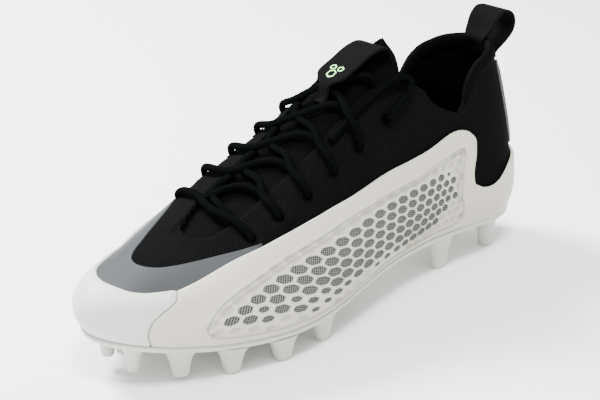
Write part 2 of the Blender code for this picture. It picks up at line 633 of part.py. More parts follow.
def seam_pair(away):
    """The two seams between cage and toe cap as (u, h) runs, lateral down and medial up, moved back by `away`."""
    lateral, medial = edge_curve(SEAM_LATERAL), edge_curve(SEAM_MEDIAL)
    lateral[-1, 1] = medial[0, 1] = SHELL_FOOT
    shift = away / PERIMETER
    return lateral - (shift, 0), medial + (shift, 0)


def make_cage():
    """The moulded shell round the sides and the heel, with the honeycomb cut through it."""
    lateral, medial = seam_pair(SEAM_GAP / 2)
    foot = foot_run(lateral[-1, 0], medial[0, 0] - 1)
    ring = np.vstack([lateral, foot, medial, edge_curve(SHELL_TOP)[::-1]])
    holes = window_holes(0, HOLE_LAST, HOLE_ROWS) + window_holes(MEDIAL_FIRST, MEDIAL_LAST, MEDIAL_ROWS, True)
    return solid("cage", *panel_mesh([ring] + holes, GAP + SHELL_WALL, GAP), "shell_white")


def make_toe_cap():
    """The front of the moulded shell, between the two seams."""
    lateral, medial = seam_pair(-SEAM_GAP / 2)
    ring = np.vstack([lateral, foot_run(lateral[-1, 0], medial[0, 0]), medial, edge_curve(TOE_TOP)[::-1]])
    return solid("toe_cap", *panel_mesh([ring], GAP + SHELL_WALL, GAP), "toe_white")


def make_film():
    """The thin grey band between the shell's top edge and the bare knit."""
    top = edge_curve(FILM_TOP)
    low = edge_curve(SHELL_TOP[2::-1] + TOE_TOP + SHELL_TOP[:-4:-1])[::-1]
    low = low[(low[:, 0] > top[0, 0] + 0.006) & (low[:, 0] < top[-1, 0] - 0.006)] + (0, SEAM_GAP)
    return solid("toe_film", *panel_mesh([np.vstack([top, low])], FILM_GAP + FILM_WALL, FILM_GAP), "film_grey")


def make_patch():
    """The ribbed patch up the back of the heel."""
    ring = edge_curve(PATCH_EDGE, closed=True)
    return solid("heel_patch", *panel_mesh([ring], GAP + PATCH_WALL, GAP), "black_smooth")


def smooth(share):
    """0 below 0, 1 above 1, and 3 s^2 - 2 s^3 between."""
    share = np.clip(share, 0, 1)
    return share * share * (3 - 2 * share)


def tongue_sink(u, h):
    """How far the tongue's top end drops under the crown line, most in its middle, so that the tab lies over it."""
    x, y, _ = point(u, h).T
    back = smooth((y - 0.060 * LENGTH) / (0.085 * LENGTH))
    middle = smooth(1.6 - np.abs(x) / (0.30 * HALF_BALL))
    return TONGUE_DROP * back * middle


def make_tongue():
    """The tongue: it lies under both flaps and fills the throat."""
    ring = edge_curve(TONGUE_EDGE, closed=True)
    top = -(UPPER_WALL + GAP)
    return solid("tongue", *panel_mesh([ring], top, top - TONGUE_THICK, tongue_sink), "black_smooth")


def plan_ring(inset, step=RING_STEP):
    """The foot outline moved in by inset, as x, y."""
    u = foot_ring(step=step)[:, 0]
    start, way, _, _ = profiles(u)
    tuck = station(u)[:, 2]
    return start + way * (tuck + inset)[:, None]


def plan_sheet(loops, step=SHEET_STEP):
    """Triangles over a region of the plan, as (x, y) points and faces."""
    x = np.arange(-0.6 * BALL_WIDTH, 0.6 * BALL_WIDTH, step)
    y = np.arange(-0.53 * LENGTH, 0.53 * LENGTH, step)
    grid = np.array([(a + 0.5 * step * (k % 2), b) for k, b in enumerate(y) for a in x])
    grid = grid[inside(grid, loops)]
    grid = grid[nearest(grid, np.vstack(loops)) > 0.5 * step]
    return triangulated(loops, grid, lambda a, b: np.column_stack([a, b]))


def make_insole():
    """The sock liner: it lies on the sole, inside the foot of the upper."""
    points, faces = plan_sheet([plan_ring(UPPER_WALL + GAP)])
    z = bed(*points.T) + SEAT_GAP
    low = np.column_stack([points, z])
    return solid("insole", *closed_wall(low + (0, 0, INSOLE_THICK), low, faces), "insole_black")


def stud_ring(stud, z_share, longer, wider, sole_bottom):
    """One ring of a stud: its outline at a share of the way down from the sole to the tip."""
    _, along, across, tip, half_long, half_wide, turn = stud
    a = 2 * np.pi * np.arange(STUD_SIDES) / STUD_SIDES
    turn = math.radians(turn)
    ahead = half_long * BALL_WIDTH * longer * np.cos(a)
    side = half_wide * BALL_WIDTH * wider * np.sin(a)
    x = across * HALF_BALL + side * math.cos(turn) - ahead * math.sin(turn)
    y = TOE_Y + along * FORM_LENGTH + ahead * math.cos(turn) + side * math.sin(turn)
    top = sole_bottom(x, y)
    return np.column_stack([x, y, top + (tip - top) * z_share])


def make_outsole():
    """The sole plate and its studs as one closed solid: each stud grows out of a ring of the plate's underside."""
    def top_z(x, y):
        return bed(x, y) - SEAT_GAP

    def bottom_z(x, y):
        return top_z(x, y) - PLATE_THICK

    rim, low_rim = plan_ring(-RIM_OUT), plan_ring(RIM_BEVEL - RIM_OUT)
    bases = [stud_ring(s, 0.0, STUD_FLARE_LONG, STUD_FLARE_WIDE, bottom_z)[:, :2] for s in STUDS]
    top_points, top_faces = plan_sheet([rim])
    low_points, low_faces = plan_sheet([low_rim] + bases)
    verts, faces = [], []

    def add(points, new_faces, flip=False):
        start = sum(len(v) for v in verts)
        verts.append(points)
        faces.extend(tuple(i + start for i in (f[::-1] if flip else f)) for f in new_faces)

    def band(upper, lower):
        n = len(upper)
        add(np.vstack([upper, lower]), [(i, (i + 1) % n, (i + 1) % n + n, i + n) for i in range(n)])

    top = np.column_stack([top_points, top_z(*top_points.T)])
    low = np.column_stack([low_points, bottom_z(*low_points.T)])
    rim_top = np.column_stack([rim, top_z(*rim.T)])
    add(top, top_faces)
    add(low, low_faces)
    band(rim_top, rim_top - (0, 0, PLATE_EDGE))
    band(rim_top - (0, 0, PLATE_EDGE), np.column_stack([low_rim, bottom_z(*low_rim.T)]))
    for stud in STUDS:
        rings = [stud_ring(stud, 0.0, STUD_FLARE_LONG, STUD_FLARE_WIDE, bottom_z)]
        rings += [stud_ring(stud, share, width, width, bottom_z) for share, width in STUD_SHAPE]
        tip = stud_ring(stud, 1.0, 0.86, 0.86, bottom_z)
        rings.append(tip)
        for upper, lower in zip(rings, rings[1:]):
            band(upper, lower)
        add(tip, [tuple(range(STUD_SIDES))])
    made = solid("outsole", np.vstack(verts), faces, "sole_white")
    work = bmesh.new()
    work.from_mesh(made.data)
    bmesh.ops.remove_doubles(work, verts=work.verts, dist=2e-6)
    bmesh.ops.recalc_face_normals(work, faces=work.faces)
    work.to_mesh(made.data)
    work.free()
    return made


def tube(path, radius, sides=LACE_SIDES):
    """Verts and faces of a round bar along a list of points, closed at both ends."""
    path = np.asarray(path)
    ways = np.gradient(path, axis=0)
    ways /= np.linalg.norm(ways, axis=1, keepdims=True)
    side = np.cross(ways[0], (0, 0, 1))
    verts = []
    for place, way in zip(path, ways):
        side = side - way * (side @ way)
        side /= np.linalg.norm(side)
        other = np.cross(way, side)
        a = 2 * np.pi * np.arange(sides) / sides
        verts.append(place + radius * (np.outer(np.cos(a), side) + np.outer(np.sin(a), other)))
    n, k = len(path), sides
    faces = [
        (r * k + i, r * k + (i + 1) % k, (r + 1) * k + (i + 1) % k, (r + 1) * k + i)
        for r in range(n - 1) for i in range(k)
    ]
    faces += [tuple(range(k)), tuple((n - 1) * k + i for i in range(k))]
    return np.vstack(verts), faces


def lace_path(table):
    """Points along a smooth curve through rows of (round, up, lift in lace widths)."""
    rows = np.array(table)
    return walked(skin(rows[:, 0], rows[:, 1] * full(rows[:, 0]), rows[:, 2] * LACE_WIDTH), LACE_STEP)


def walked(knots, step):
    """Points about `step` apart on the natural spline through the knots."""
    knots = np.asarray(knots)
    chords = np.concatenate([[0], np.cumsum(np.linalg.norm(np.diff(knots, axis=0), axis=1))])
    return spline(np.linspace(0, chords[-1], max(5, round(chords[-1] / step))), chords, knots)


def flap_edge(u):
    """Up share of the throat's edge at u, on the side that u is on."""
    rows = np.array(THROAT_EDGE)
    rows = rows[(rows[:, 0] > 0) == (u > 0)]
    rows = rows[np.abs(rows[:, 0]) > 0.17]
    order = np.argsort(rows[:, 0])
    return float(np.interp(u, rows[order, 0], rows[order, 1]))


def lace_point(u, up, lift):
    """One point of a lace: round, up as a share of the wall, lift in lace widths."""
    return skin([u], [up * full([u])[0]], [lift * LACE_WIDTH])[0]


def under_flap(u):
    """Where a strand goes under the flap's edge at u, short of it and at the height of its wall."""
    return lace_point(u, flap_edge(u) + EDGE_SHORT * (2.2 if u > 0 else 1.7), END_LIFT)


def strand(start, end, lift=OVER_LIFT, tucked=False):
    """A lace from the eyelet `start` over its own flap, or from under it, to under the edge of the flap of `end`."""
    (ua, va), (ub, _) = EYELETS[start], EYELETS[end]
    side_b = 1 if ub > 0 else -1
    first = [under_flap(ua)] if tucked else [lace_point(ua, va, 0.7), lace_point(ua, flap_edge(ua), lift)]
    side_a = 1 if ua > 0 else -1
    quarter = lace_point(ua + side_a * PAST_EDGE * (abs(ub) - abs(ua)), flap_edge(ua) + PAST_EDGE * PAST_UP, PAST_LIFT)
    crown = lace_point(side_b * 0.5 * (abs(ua) + abs(ub)), 0.97, CROSS_LIFT)
    return walked(first + ([] if tucked else [quarter]) + [crown, under_flap(ub)], LACE_STEP)


def joined(name, parts, finish):
    """One solid from several that overlap."""
    made = solid(name, *parts[0], finish)
    for number, part in enumerate(parts[1:]):
        other = solid(f"{name}_join_{number}", *part, finish)
        other.hide_render = True
        other.display_type = "WIRE"
        join = made.modifiers.new(f"join_{number}", "BOOLEAN")
        join.operation, join.object, join.solver = "UNION", other, "EXACT"
    return made


def make_laces():
    """The bar over the bottom of the throat, five crossings and the free end of the lateral lace."""
    radius = LACE_WIDTH / 2
    solid("lace_bar", *tube(lace_path(LACE_BAR), radius), "lace_black")
    for k in range(5):
        lift = HIGH_LIFT if k == 4 else OVER_LIFT
        near, far = strand(k, k + 7, lift, k == 0), strand(k + 6, k + 1, OVER_LIFT, k == 0)
        joined(f"lace_cross_{k + 1}", [tube(far, radius), tube(near, radius)], "lace_black")
    solid("lace_end", *tube(lace_path(LACE_END), radius), "lace_black")


def ribbon(middle, edge, thick):
    """A flat strap between its rows of points: middle is its centre line, edge[k] the row k of points across it."""
    ways = np.gradient(middle, axis=0)
    across = edge[:, -1] - edge[:, 0]
    out = np.cross(across, ways)
    out /= np.linalg.norm(out, axis=1, keepdims=True)
    n, k = edge.shape[:2]
    half = (out * thick / 2)[:, None, :]
    faces = np.array([
        tri
        for r in range(n - 1) for i in range(k - 1)
        for tri in ((r * k + i, r * k + i + 1, (r + 1) * k + i), (r * k + i + 1, (r + 1) * k + i + 1, (r + 1) * k + i))
    ])
    return closed_wall((edge + half).reshape(-1, 3), (edge - half).reshape(-1, 3), faces)


def make_heel_loop():
    """The pull loop: sewn up the back of the heel, out and over the collar's edge, and down inside it."""
    rows = np.array(HEEL_LOOP)
    q = np.linspace(0, len(rows) - 1, 2 * len(rows) - 1)
    up, lift, wrap = spline(q, np.arange(len(rows)), rows).T
    h, lift = up * full([0.0])[0], lift * LOOP_REACH
    middle = skin(0 * h, h, lift)
    round_scale = np.linalg.norm(point([1e-3], [h[0]]) - point([-1e-3], [h[0]])) / 2e-3
    edge = []
    for x in np.linspace(-0.5, 0.5, 3) * STRAP_WIDTH:
        flat = middle + (x, 0, 0)
        edge.append(flat + wrap[:, None] * (skin(0 * h + x / round_scale, h, lift) - flat))
    return solid("heel_loop", *ribbon(middle, np.stack(edge, 1), STRAP_THICK), "black_smooth")


def make_tongue_tab():
    """The loop over the top of the tongue: the last crossing of the laces runs through it."""
    rows = np.array(TONGUE_TAB)
    y = TOE_Y + rows[:, 0] * FORM_LENGTH
    z = spline(y, CROWN_ROWS[:, 0], CROWN_ROWS[:, 2]) + rows[:, 1] * TAB_RISE
    chords = np.concatenate([[0], np.cumsum(np.hypot(np.diff(y), np.diff(z)))])
    q = np.linspace(0, chords[-1], round(chords[-1] / (0.5 * TAB_RISE)))
    y, z, width = spline(q, chords, np.column_stack([y, z, rows[:, 2] * TAB_WIDTH])).T
    middle = np.column_stack([0 * y + TAB_MIDDLE, y, z])
    edge = np.stack([middle + np.outer(side * width, (1, 0, 0)) for side in (-0.5, 0.5)], 1)
    return solid("tongue_tab", *ribbon(middle, edge, STRAP_THICK), "black_smooth")


def clear_scene():
    for old in list(bpy.data.objects):
        bpy.data.objects.remove(old, do_unlink=True)


def main():
    clear_scene()
    make_upper()
    make_cage()
    make_toe_cap()
    make_film()
    make_patch()
    make_tongue()
    make_insole()
    make_outsole()
    make_heel_loop()
    make_tongue_tab()
    make_laces()


main()
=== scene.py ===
"""The looks of a left american football cleat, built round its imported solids.

Metres, +Z up, toe towards -Y, heel towards +Y, the outer side of this left shoe towards +X.
"""

import math

import bmesh
import bpy
import numpy as np
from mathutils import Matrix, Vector
from mathutils.geometry import delaunay_2d_cdt
from mathutils.kdtree import KDTree


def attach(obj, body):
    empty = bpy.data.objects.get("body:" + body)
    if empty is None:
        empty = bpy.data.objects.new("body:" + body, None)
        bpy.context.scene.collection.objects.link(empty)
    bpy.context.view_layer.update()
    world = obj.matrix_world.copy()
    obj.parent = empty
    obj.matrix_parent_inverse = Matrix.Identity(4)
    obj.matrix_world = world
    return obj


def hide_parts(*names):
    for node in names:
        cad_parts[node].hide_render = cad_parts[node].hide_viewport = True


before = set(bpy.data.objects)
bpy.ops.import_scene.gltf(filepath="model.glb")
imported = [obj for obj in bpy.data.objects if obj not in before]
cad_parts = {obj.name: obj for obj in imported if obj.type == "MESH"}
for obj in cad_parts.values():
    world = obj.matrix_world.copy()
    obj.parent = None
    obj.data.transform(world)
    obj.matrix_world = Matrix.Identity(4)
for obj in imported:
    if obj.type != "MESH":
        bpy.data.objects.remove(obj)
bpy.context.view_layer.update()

# Camera. It stands high before the outer side of the toe, a long lens away, as for a shop picture.
CAMERA_TURN, CAMERA_RISE, CAMERA_AWAY = math.radians(47.1), math.radians(23.1), 0.873
CAMERA_TARGET = np.array([-0.044, 0.0299, 0.0363])
CAMERA_LENS, SENSOR = 90.0, 36.0

camera_data = bpy.data.cameras.new("camera")
camera_data.lens = CAMERA_LENS
camera_data.sensor_width = SENSOR
camera_data.clip_start = 0.01
camera = bpy.data.objects.new("camera", camera_data)
bpy.context.scene.collection.objects.link(camera)
camera_flat = math.cos(CAMERA_RISE)
camera_way = np.array([
    math.sin(CAMERA_TURN) * camera_flat, -math.cos(CAMERA_TURN) * camera_flat, math.sin(CAMERA_RISE),
])
camera.location = CAMERA_TARGET + CAMERA_AWAY * camera_way
camera.rotation_euler = Vector(camera_way).to_track_quat("Z", "Y").to_euler()
bpy.context.scene.camera = camera

# Studio. A white room, a broad lamp over the inner side, one high over the outer side, a weak one in front.
LAMPS = (
    ("key", (-0.95, -0.25, 1.05), 0.45, 70.0), ("top", (0.45, -0.3, 1.6), 0.4, 42.0),
    ("front", (0.35, -1.3, 0.75), 0.8, 5.0),
)
ROOM_LIGHT = 1.45
FLOOR_HALF = 3.0

world = bpy.data.worlds.new("room")
world.use_nodes = True
world.node_tree.nodes["Background"].inputs["Color"].default_value = (1, 1, 1, 1)
world.node_tree.nodes["Background"].inputs["Strength"].default_value = ROOM_LIGHT
bpy.context.scene.world = world
for lamp_name, lamp_place, lamp_side, lamp_power in LAMPS:
    lamp_data = bpy.data.lights.new(lamp_name, "AREA")
    lamp_data.size = lamp_side
    lamp_data.energy = lamp_power
    lamp = bpy.data.objects.new(lamp_name, lamp_data)
    lamp.location = lamp_place
    lamp.rotation_euler = Vector(lamp_place).to_track_quat("Z", "Y").to_euler()
    bpy.context.scene.collection.objects.link(lamp)


# Shaders. The classes with which the pieces below write their finishes.
def feed(socket, value):
    """Links a wire into a socket, or sets the socket to a plain value."""
    if isinstance(value, Wire):
        socket.id_data.links.new(value.socket, socket)
    else:
        socket.default_value = value


class Wire:
    """One output in a material's nodes: sums, products and comparisons of it add Math nodes."""

    def __init__(self, socket):
        self.socket = socket

    def math(self, operation, *values, clamp=False):
        node = self.socket.id_data.nodes.new("ShaderNodeMath")
        node.operation, node.use_clamp = operation, clamp
        for socket, value in zip(node.inputs, values):
            feed(socket, value)
        return Wire(node.outputs[0])

    def __add__(self, other):
        return self.math("ADD", self, other)

    def __sub__(self, other):
        return self.math("SUBTRACT", self, other)

    def __rsub__(self, other):
        return self.math("SUBTRACT", other, self)

    def __mul__(self, other):
        return self.math("MULTIPLY", self, other)

    def __truediv__(self, other):
        return self.math("DIVIDE", self, other)

    __radd__ = __add__
    __rmul__ = __mul__

    def one(self, operation, *others, clamp=False):
        return self.math(operation, self, *others, clamp=clamp)

    def band(self, low, high):
        """0 below low, 1 above high and smooth between, or the other way round where high is the lower."""
        node = self.socket.id_data.nodes.new("ShaderNodeMapRange")
        node.interpolation_type = "SMOOTHSTEP"
        flip = high < low
        ends = (min(low, high), max(low, high), float(flip), float(not flip))
        for socket, value in zip(node.inputs, (self, *ends)):
            feed(socket, value)
        return Wire(node.outputs[0])


class Finish:
    """A material with one Principled shader."""

    def __init__(self, name, **values):
        self.material = bpy.data.materials.new(name)
        self.material.use_nodes = True
        self.nodes = self.material.node_tree.nodes
        self.put(**values)

    def put(self, **values):
        for name, value in values.items():
            label = name.replace("_", " ").title().replace("Ior", "IOR")
            feed(self.nodes["Principled BSDF"].inputs[label], value)

    def add(self, kind, values=None, out=0, **settings):
        node = self.nodes.new("ShaderNode" + kind)
        for name, value in settings.items():
            setattr(node, name, value)
        for name, value in (values or {}).items():
            feed(node.inputs[name], value)
        return Wire(node.outputs[out])

    def place(self):
        """Object coordinates."""
        return self.add("TexCoord", out="Object")

    def weave(self):
        """(along, up) of the piece's own map, in millimetres."""
        apart = {"Vector": self.add("UVMap", uv_map="weave")}
        return self.add("SeparateXYZ", apart), self.add("SeparateXYZ", apart, out=1)

    def share(self, name):
        """A value that the mesh keeps at each point."""
        return self.add("Attribute", attribute_name=name, out=2)

    def noise(self, scale, detail=2.0, where=None):
        return self.add("TexNoise", {"Vector": where or self.place(), "Scale": scale, "Detail": detail})

    def mix(self, share, first, second):
        """Colour between first and second: a link, or the three numbers of a colour."""
        node = self.nodes.new("ShaderNodeMix")
        node.data_type = "RGBA"
        feed(node.inputs[0], share)
        for socket, colour in ((node.inputs[6], first), (node.inputs[7], second)):
            feed(socket, colour if isinstance(colour, Wire) else (*colour, 1.0))
        return Wire(node.outputs[2])

    def bump(self, height, distance, strength=1.0, under=None):
        values = {"Height": height, "Distance": distance, "Strength": strength}
        if under:
            values["Normal"] = under
        return self.add("Bump", values)


# Upper. One knitted wall on the last, a quadratic under the widest place and a cubic over it, all round the
# outline. It is open at the throat and the collar, and twelve eyelets are punched through its flaps.
LENGTH, BALL_WIDTH, INSTEP_HEIGHT = 0.302, 0.101, 0.107
BED_HEIGHT, WIDE_HEIGHT, TUCK, ARCH_LIFT = 0.023, 0.018, 0.006, 0.002
UPPER_WALL, SHELL_WALL, GAP = 0.0018, 0.0015, 0.0008
FORM_LENGTH = LENGTH - 2 * (SHELL_WALL + GAP)
HALF_BALL = BALL_WIDTH / 2 - SHELL_WALL - GAP
TOE_Y = -FORM_LENGTH / 2
TOE_FAN, HEEL_FAN, FAN_BLEND = 0.136, 0.835, 0.035
OPEN_REACH = 0.168
# Along, across, tuck, height of the widest place, upright and flat share, from the heel by the outer side
STATIONS = (
    (1.0, 0.02, 0.7, 1.0, 0.22, 0.3), (0.975, 0.43, 0.7, 1.0, 0.2, 0.3), (0.925, 0.6, 0.75, 1.0, 0.28, 0.3),
    (0.835, 0.635, 0.8, 0.98, 0.45, 0.32), (0.69, 0.655, 0.9, 0.94, 0.58, 0.35),
    (0.545, 0.79, 0.9, 0.83, 0.57, 0.4), (0.416, 0.96, 0.8, 0.78, 0.54, 0.45),
    (0.319, 1.0, 0.7, 0.72, 0.55, 0.5), (0.213, 0.88, 0.7, 0.67, 0.6, 0.5),
    (0.116, 0.65, 0.7, 0.61, 0.65, 0.5), (0.043, 0.36, 0.7, 0.6, 0.7, 0.5),
    (0.0, -0.11, 0.7, 0.6, 0.7, 0.5), (0.024, -0.49, 0.7, 0.58, 0.7, 0.5),
    (0.097, -0.77, 0.7, 0.6, 0.66, 0.5), (0.184, -0.95, 0.7, 0.69, 0.69, 0.54),
    (0.271, -1.0, 0.7, 0.74, 0.76, 0.6), (0.387, -0.9, 0.9, 0.78, 0.8, 0.62),
    (0.525, -0.73, 1.2, 0.83, 0.78, 0.58), (0.675, -0.65, 1.2, 0.94, 0.68, 0.42),
    (0.835, -0.635, 0.8, 0.98, 0.5, 0.32), (0.925, -0.58, 0.75, 1.0, 0.32, 0.3),
    (0.975, -0.38, 0.7, 1.0, 0.25, 0.3),
)
BED = (
    (0.0, 1.22), (0.045, 1.125), (0.11, 0.99), (0.2, 0.86), (0.3, 0.8), (0.4, 0.835), (0.54, 1.0),
    (0.69, 1.08), (0.82, 1.055), (0.92, 1.01), (1.0, 0.975),
)
CROWN = (
    (0.04, -0.16, 0.461), (0.126, -0.21, 0.528), (0.193, -0.2, 0.598), (0.271, -0.19, 0.702),
    (0.348, -0.17, 0.812), (0.425, -0.14, 0.928), (0.503, -0.11, 1.058), (0.58, -0.07, 1.207),
    (0.677, -0.03, 1.405), (0.773, 0.0, 1.675), (0.851, 0.0, 1.81), (0.918, 0.0, 1.885),
)
# Edges as (round, up): shares of the way round and of the wall, negative round on the inner side
THROAT_EDGE = (
    (0.383, 0.96), (0.384, 0.89), (0.38, 0.81), (0.372, 0.765), (0.362, 0.75), (0.347, 0.75),
    (0.324, 0.765), (0.294, 0.785), (0.266, 0.795), (0.24, 0.82), (0.215, 0.825), (0.196, 0.81),
    (0.18, 0.76), (0.168, 0.7), (0.157, 0.64), (0.148, 0.56), (0.137, 0.5), (0.126, 0.46), (0.118, 0.44),
    (0.111, 0.455), (0.105, 0.492), (0.099, 0.524), (0.089, 0.548), (0.068, 0.564), (0.034, 0.573),
    (0.0, 0.576), (-0.034, 0.573), (-0.068, 0.564), (-0.089, 0.548), (-0.099, 0.524), (-0.105, 0.492),
    (-0.112, 0.455), (-0.119, 0.44), (-0.128, 0.46), (-0.14, 0.5), (-0.153, 0.56), (-0.165, 0.64),
    (-0.177, 0.71), (-0.19, 0.78), (-0.205, 0.84), (-0.225, 0.88), (-0.25, 0.9), (-0.28, 0.92),
    (-0.31, 0.94), (-0.335, 0.95), (-0.352, 0.945), (-0.364, 0.96),
)
EYELETS = (
    (0.351, 0.611), (0.324, 0.624), (0.295, 0.632), (0.265, 0.649), (0.234, 0.656), (0.201, 0.666),
    (-0.35, 0.69), (-0.325, 0.73), (-0.3, 0.765), (-0.275, 0.79), (-0.249, 0.8), (-0.22, 0.77),
)
EYELET_WIDTH = 0.0056
SHEET_STEP = 0.0028


def bends(x, y):
    """Second derivatives at the knots of the natural cubic spline through the rows of y."""
    n, h = len(x), np.diff(x)
    a, b = np.zeros((n, n)), np.zeros(y.shape)
    a[0, 0] = a[-1, -1] = 1
    for i in range(1, n - 1):
        a[i, i - 1:i + 2] = h[i - 1], 2 * (h[i - 1] + h[i]), h[i]
        b[i] = 6 * ((y[i + 1] - y[i]) / h[i] - (y[i] - y[i - 1]) / h[i - 1])
    return np.linalg.solve(a, b)


def spline(q, x, y, slope=False):
    """The natural cubic spline through (x, y) at q: y_i + c t + m_i t^2/2 + (m_j - m_i) t^3 / 6h."""
    x, y, q = np.asarray(x, float), np.asarray(y, float), np.asarray(q, float)
    m = bends(x, y)
    i = np.clip(np.searchsorted(x, q) - 1, 0, len(x) - 2)
    h, t = x[i + 1] - x[i], q - x[i]
    if y.ndim > 1:
        h, t = h[..., None], t[..., None]
    c = (y[i + 1] - y[i]) / h - h * (2 * m[i] + m[i + 1]) / 6
    if slope:
        return c + m[i] * t + (m[i + 1] - m[i]) / (2 * h) * t ** 2
    return y[i] + c * t + m[i] / 2 * t ** 2 + (m[i + 1] - m[i]) / (6 * h) * t ** 3


def walk_of(points):
    """Length of the way along the points, from 0 at the first."""
    return np.concatenate([[0], np.cumsum(np.linalg.norm(np.diff(points, axis=0), axis=1))])


def smooth(share):
    """0 below 0, 1 above 1, and 3 s^2 - 2 s^3 between."""
    share = np.clip(share, 0, 1)
    return share * share * (3 - 2 * share)


ROWS = np.array(STATIONS) * (FORM_LENGTH, HALF_BALL, TUCK, WIDE_HEIGHT, 1, 1) + (TOE_Y, 0, 0, 0, 0, 0)
ROWS = np.vstack([ROWS, ROWS[:1]])
KNOTS = np.concatenate([[0], np.cumsum(np.hypot(*np.diff(ROWS[:, :2], axis=0).T))])
PERIMETER = KNOTS[-1]
KNOTS = KNOTS / PERIMETER
CROWN_ROWS = np.array(CROWN) * (FORM_LENGTH, HALF_BALL, INSTEP_HEIGHT) + (TOE_Y, 0, 0)
BED_ROWS = np.array(BED) * (FORM_LENGTH, BED_HEIGHT) + (TOE_Y, 0)


def station(u):
    """The columns of STATIONS at the share u of the way round, by a spline that closes on itself."""
    k = 3
    x = np.concatenate([KNOTS[-1 - k:-1] - 1, KNOTS, KNOTS[1:1 + k] + 1])
    y = np.concatenate([ROWS[-1 - k:-1], ROWS, ROWS[1:1 + k]])
    return spline(np.asarray(u) % 1.0, x, y)


def bed(x, y):
    """Height of the foot bed: the spline of BED, and ARCH_LIFT more on the inner side of the waist."""
    arch = np.exp(-((y - 0.05 * LENGTH) / (0.16 * LENGTH)) ** 2)
    side = 1 / (1 + np.exp(x / (0.2 * HALF_BALL)))
    return spline(y, BED_ROWS[:, 0], BED_ROWS[:, 1]) + ARCH_LIFT * arch * side


def spine(y):
    """y kept between the two fan centres, with a soft turn at each: lo + k ln(1 + e^((y - lo)/k))."""
    lo, hi = TOE_Y + TOE_FAN * FORM_LENGTH, TOE_Y + HEEL_FAN * FORM_LENGTH
    k = FAN_BLEND * FORM_LENGTH
    y = lo + k * np.logaddexp(0, (y - lo) / k)
    return hi - k * np.logaddexp(0, (hi - y) / k)


def profiles(u, low=6, high=30):
    """For each u the foot point, the way in to the crown, the distance to it and the wall's curve."""
    y, x, tuck, wide, upright, flat = station(u).T
    crown_y = spine(y)
    crown_x, crown_z = spline(crown_y, CROWN_ROWS[:, 0], CROWN_ROWS[:, 1:]).T
    grade = spline(crown_y, CROWN_ROWS[:, 0], CROWN_ROWS[:, 2], slope=True)
    foot = bed(x, y)
    start = np.stack([x, y], 1)
    way = np.stack([crown_x, crown_y], 1) - start
    reach = np.hypot(*way.T)
    way = way / reach[:, None]
    rise = grade * way[:, 1] * reach * flat
    wide = foot + wide
    zero = 0 * reach
    t = np.linspace(0, 1, low, endpoint=False)[None, :, None]
    ends = ((tuck, foot), (zero, foot + 0.45 * (wide - foot)), (zero, wide))
    a, b, c = (np.stack(p, 1)[:, None] for p in ends)
    under = (1 - t) ** 2 * a + 2 * t * (1 - t) * b + t ** 2 * c
    t = np.linspace(0, 1, high)[None, :, None]
    ends = ((zero, wide + upright * (crown_z - wide)), (reach * (1 - flat), crown_z - rise), (reach, crown_z))
    b, q, e = (np.stack(p, 1)[:, None] for p in ends)
    over = (1 - t) ** 3 * c + 3 * t * (1 - t) ** 2 * b + 3 * t ** 2 * (1 - t) * q + t ** 3 * e
    return start, way, reach, np.concatenate([under, over], 1)


def lengths(curve):
    step = np.hypot(*np.moveaxis(np.diff(curve, axis=1), 2, 0))
    return np.concatenate([np.zeros((len(curve), 1)), np.cumsum(step, 1)], 1)


def on_walls(walls, h):
    """The points at the length h up each of the walls, (start, way, reach, curve) as from profiles."""
    start, way, _, curve = walls
    arc = lengths(curve)
    i = np.clip((arc < h[:, None]).sum(1) - 1, 0, curve.shape[1] - 2)
    n = np.arange(len(h))
    t = (h - arc[n, i]) / (arc[n, i + 1] - arc[n, i])
    reach, z = (curve[n, i] + t[:, None] * (curve[n, i + 1] - curve[n, i])).T
    return np.column_stack([start + way * reach[:, None], z])


def rows_of(u, h):
    return np.atleast_1d(np.asarray(u, float)), np.atleast_1d(np.asarray(h, float))


def point(u, h):
    """The upper's outer skin at the share u round and the length h up the wall."""
    u, h = rows_of(u, h)
    return on_walls(profiles(u), h)


def full(u):
    """Length of the whole wall, from its foot to the crown, at u."""
    return lengths(profiles(np.atleast_1d(np.asarray(u, float)))[3])[:, -1]


def slopes(u, h):
    """Steps of the skin per share round and per metre up."""
    step_u, step_h = 5e-4, 1e-3
    beside, before = profiles(u + step_u), profiles(u - step_u)
    here = profiles(u)
    round_way = (on_walls(beside, h) - on_walls(before, h)) / (2 * step_u)
    up_way = (on_walls(here, h + step_h) - on_walls(here, h - step_h)) / (2 * step_h)
    return round_way, up_way


def unit(rows):
    return rows / np.linalg.norm(rows, axis=-1, keepdims=True)


def skin(u, h, lift=0.0):
    """point(u, h) moved out by lift along the skin's normal, which is the cross of its two slopes."""
    u, h = rows_of(u, h)
    round_way, up_way = slopes(u, h)
    return point(u, h) + unit(np.cross(up_way, round_way)) * np.asarray(lift, float).reshape(-1, 1)


def crown_map(u):
    """For each u the crown point, the way to it and the wall's length, softly kept under OPEN_REACH."""
    start, way, reach, curve = profiles(u)
    soft = 0.004
    whole = OPEN_REACH - soft * np.logaddexp(0, (OPEN_REACH - lengths(curve)[:, -1]) / soft)
    return start + way * reach[:, None], way, whole


def unrolled(u, h):
    """Flat map of the skin: each wall laid out straight from the crown line, which an edge may cross."""
    u, h = rows_of(u, h)
    crown, way, whole = crown_map(u)
    return crown - way * (whole - h)[:, None]


MAP_U = np.arange(4000) / 4000
MAP_CROWN, MAP_WAY, MAP_WHOLE = crown_map(MAP_U)
MAP_WALLS = profiles(MAP_U)
MAP_FULL = lengths(MAP_WALLS[3])[:, -1]


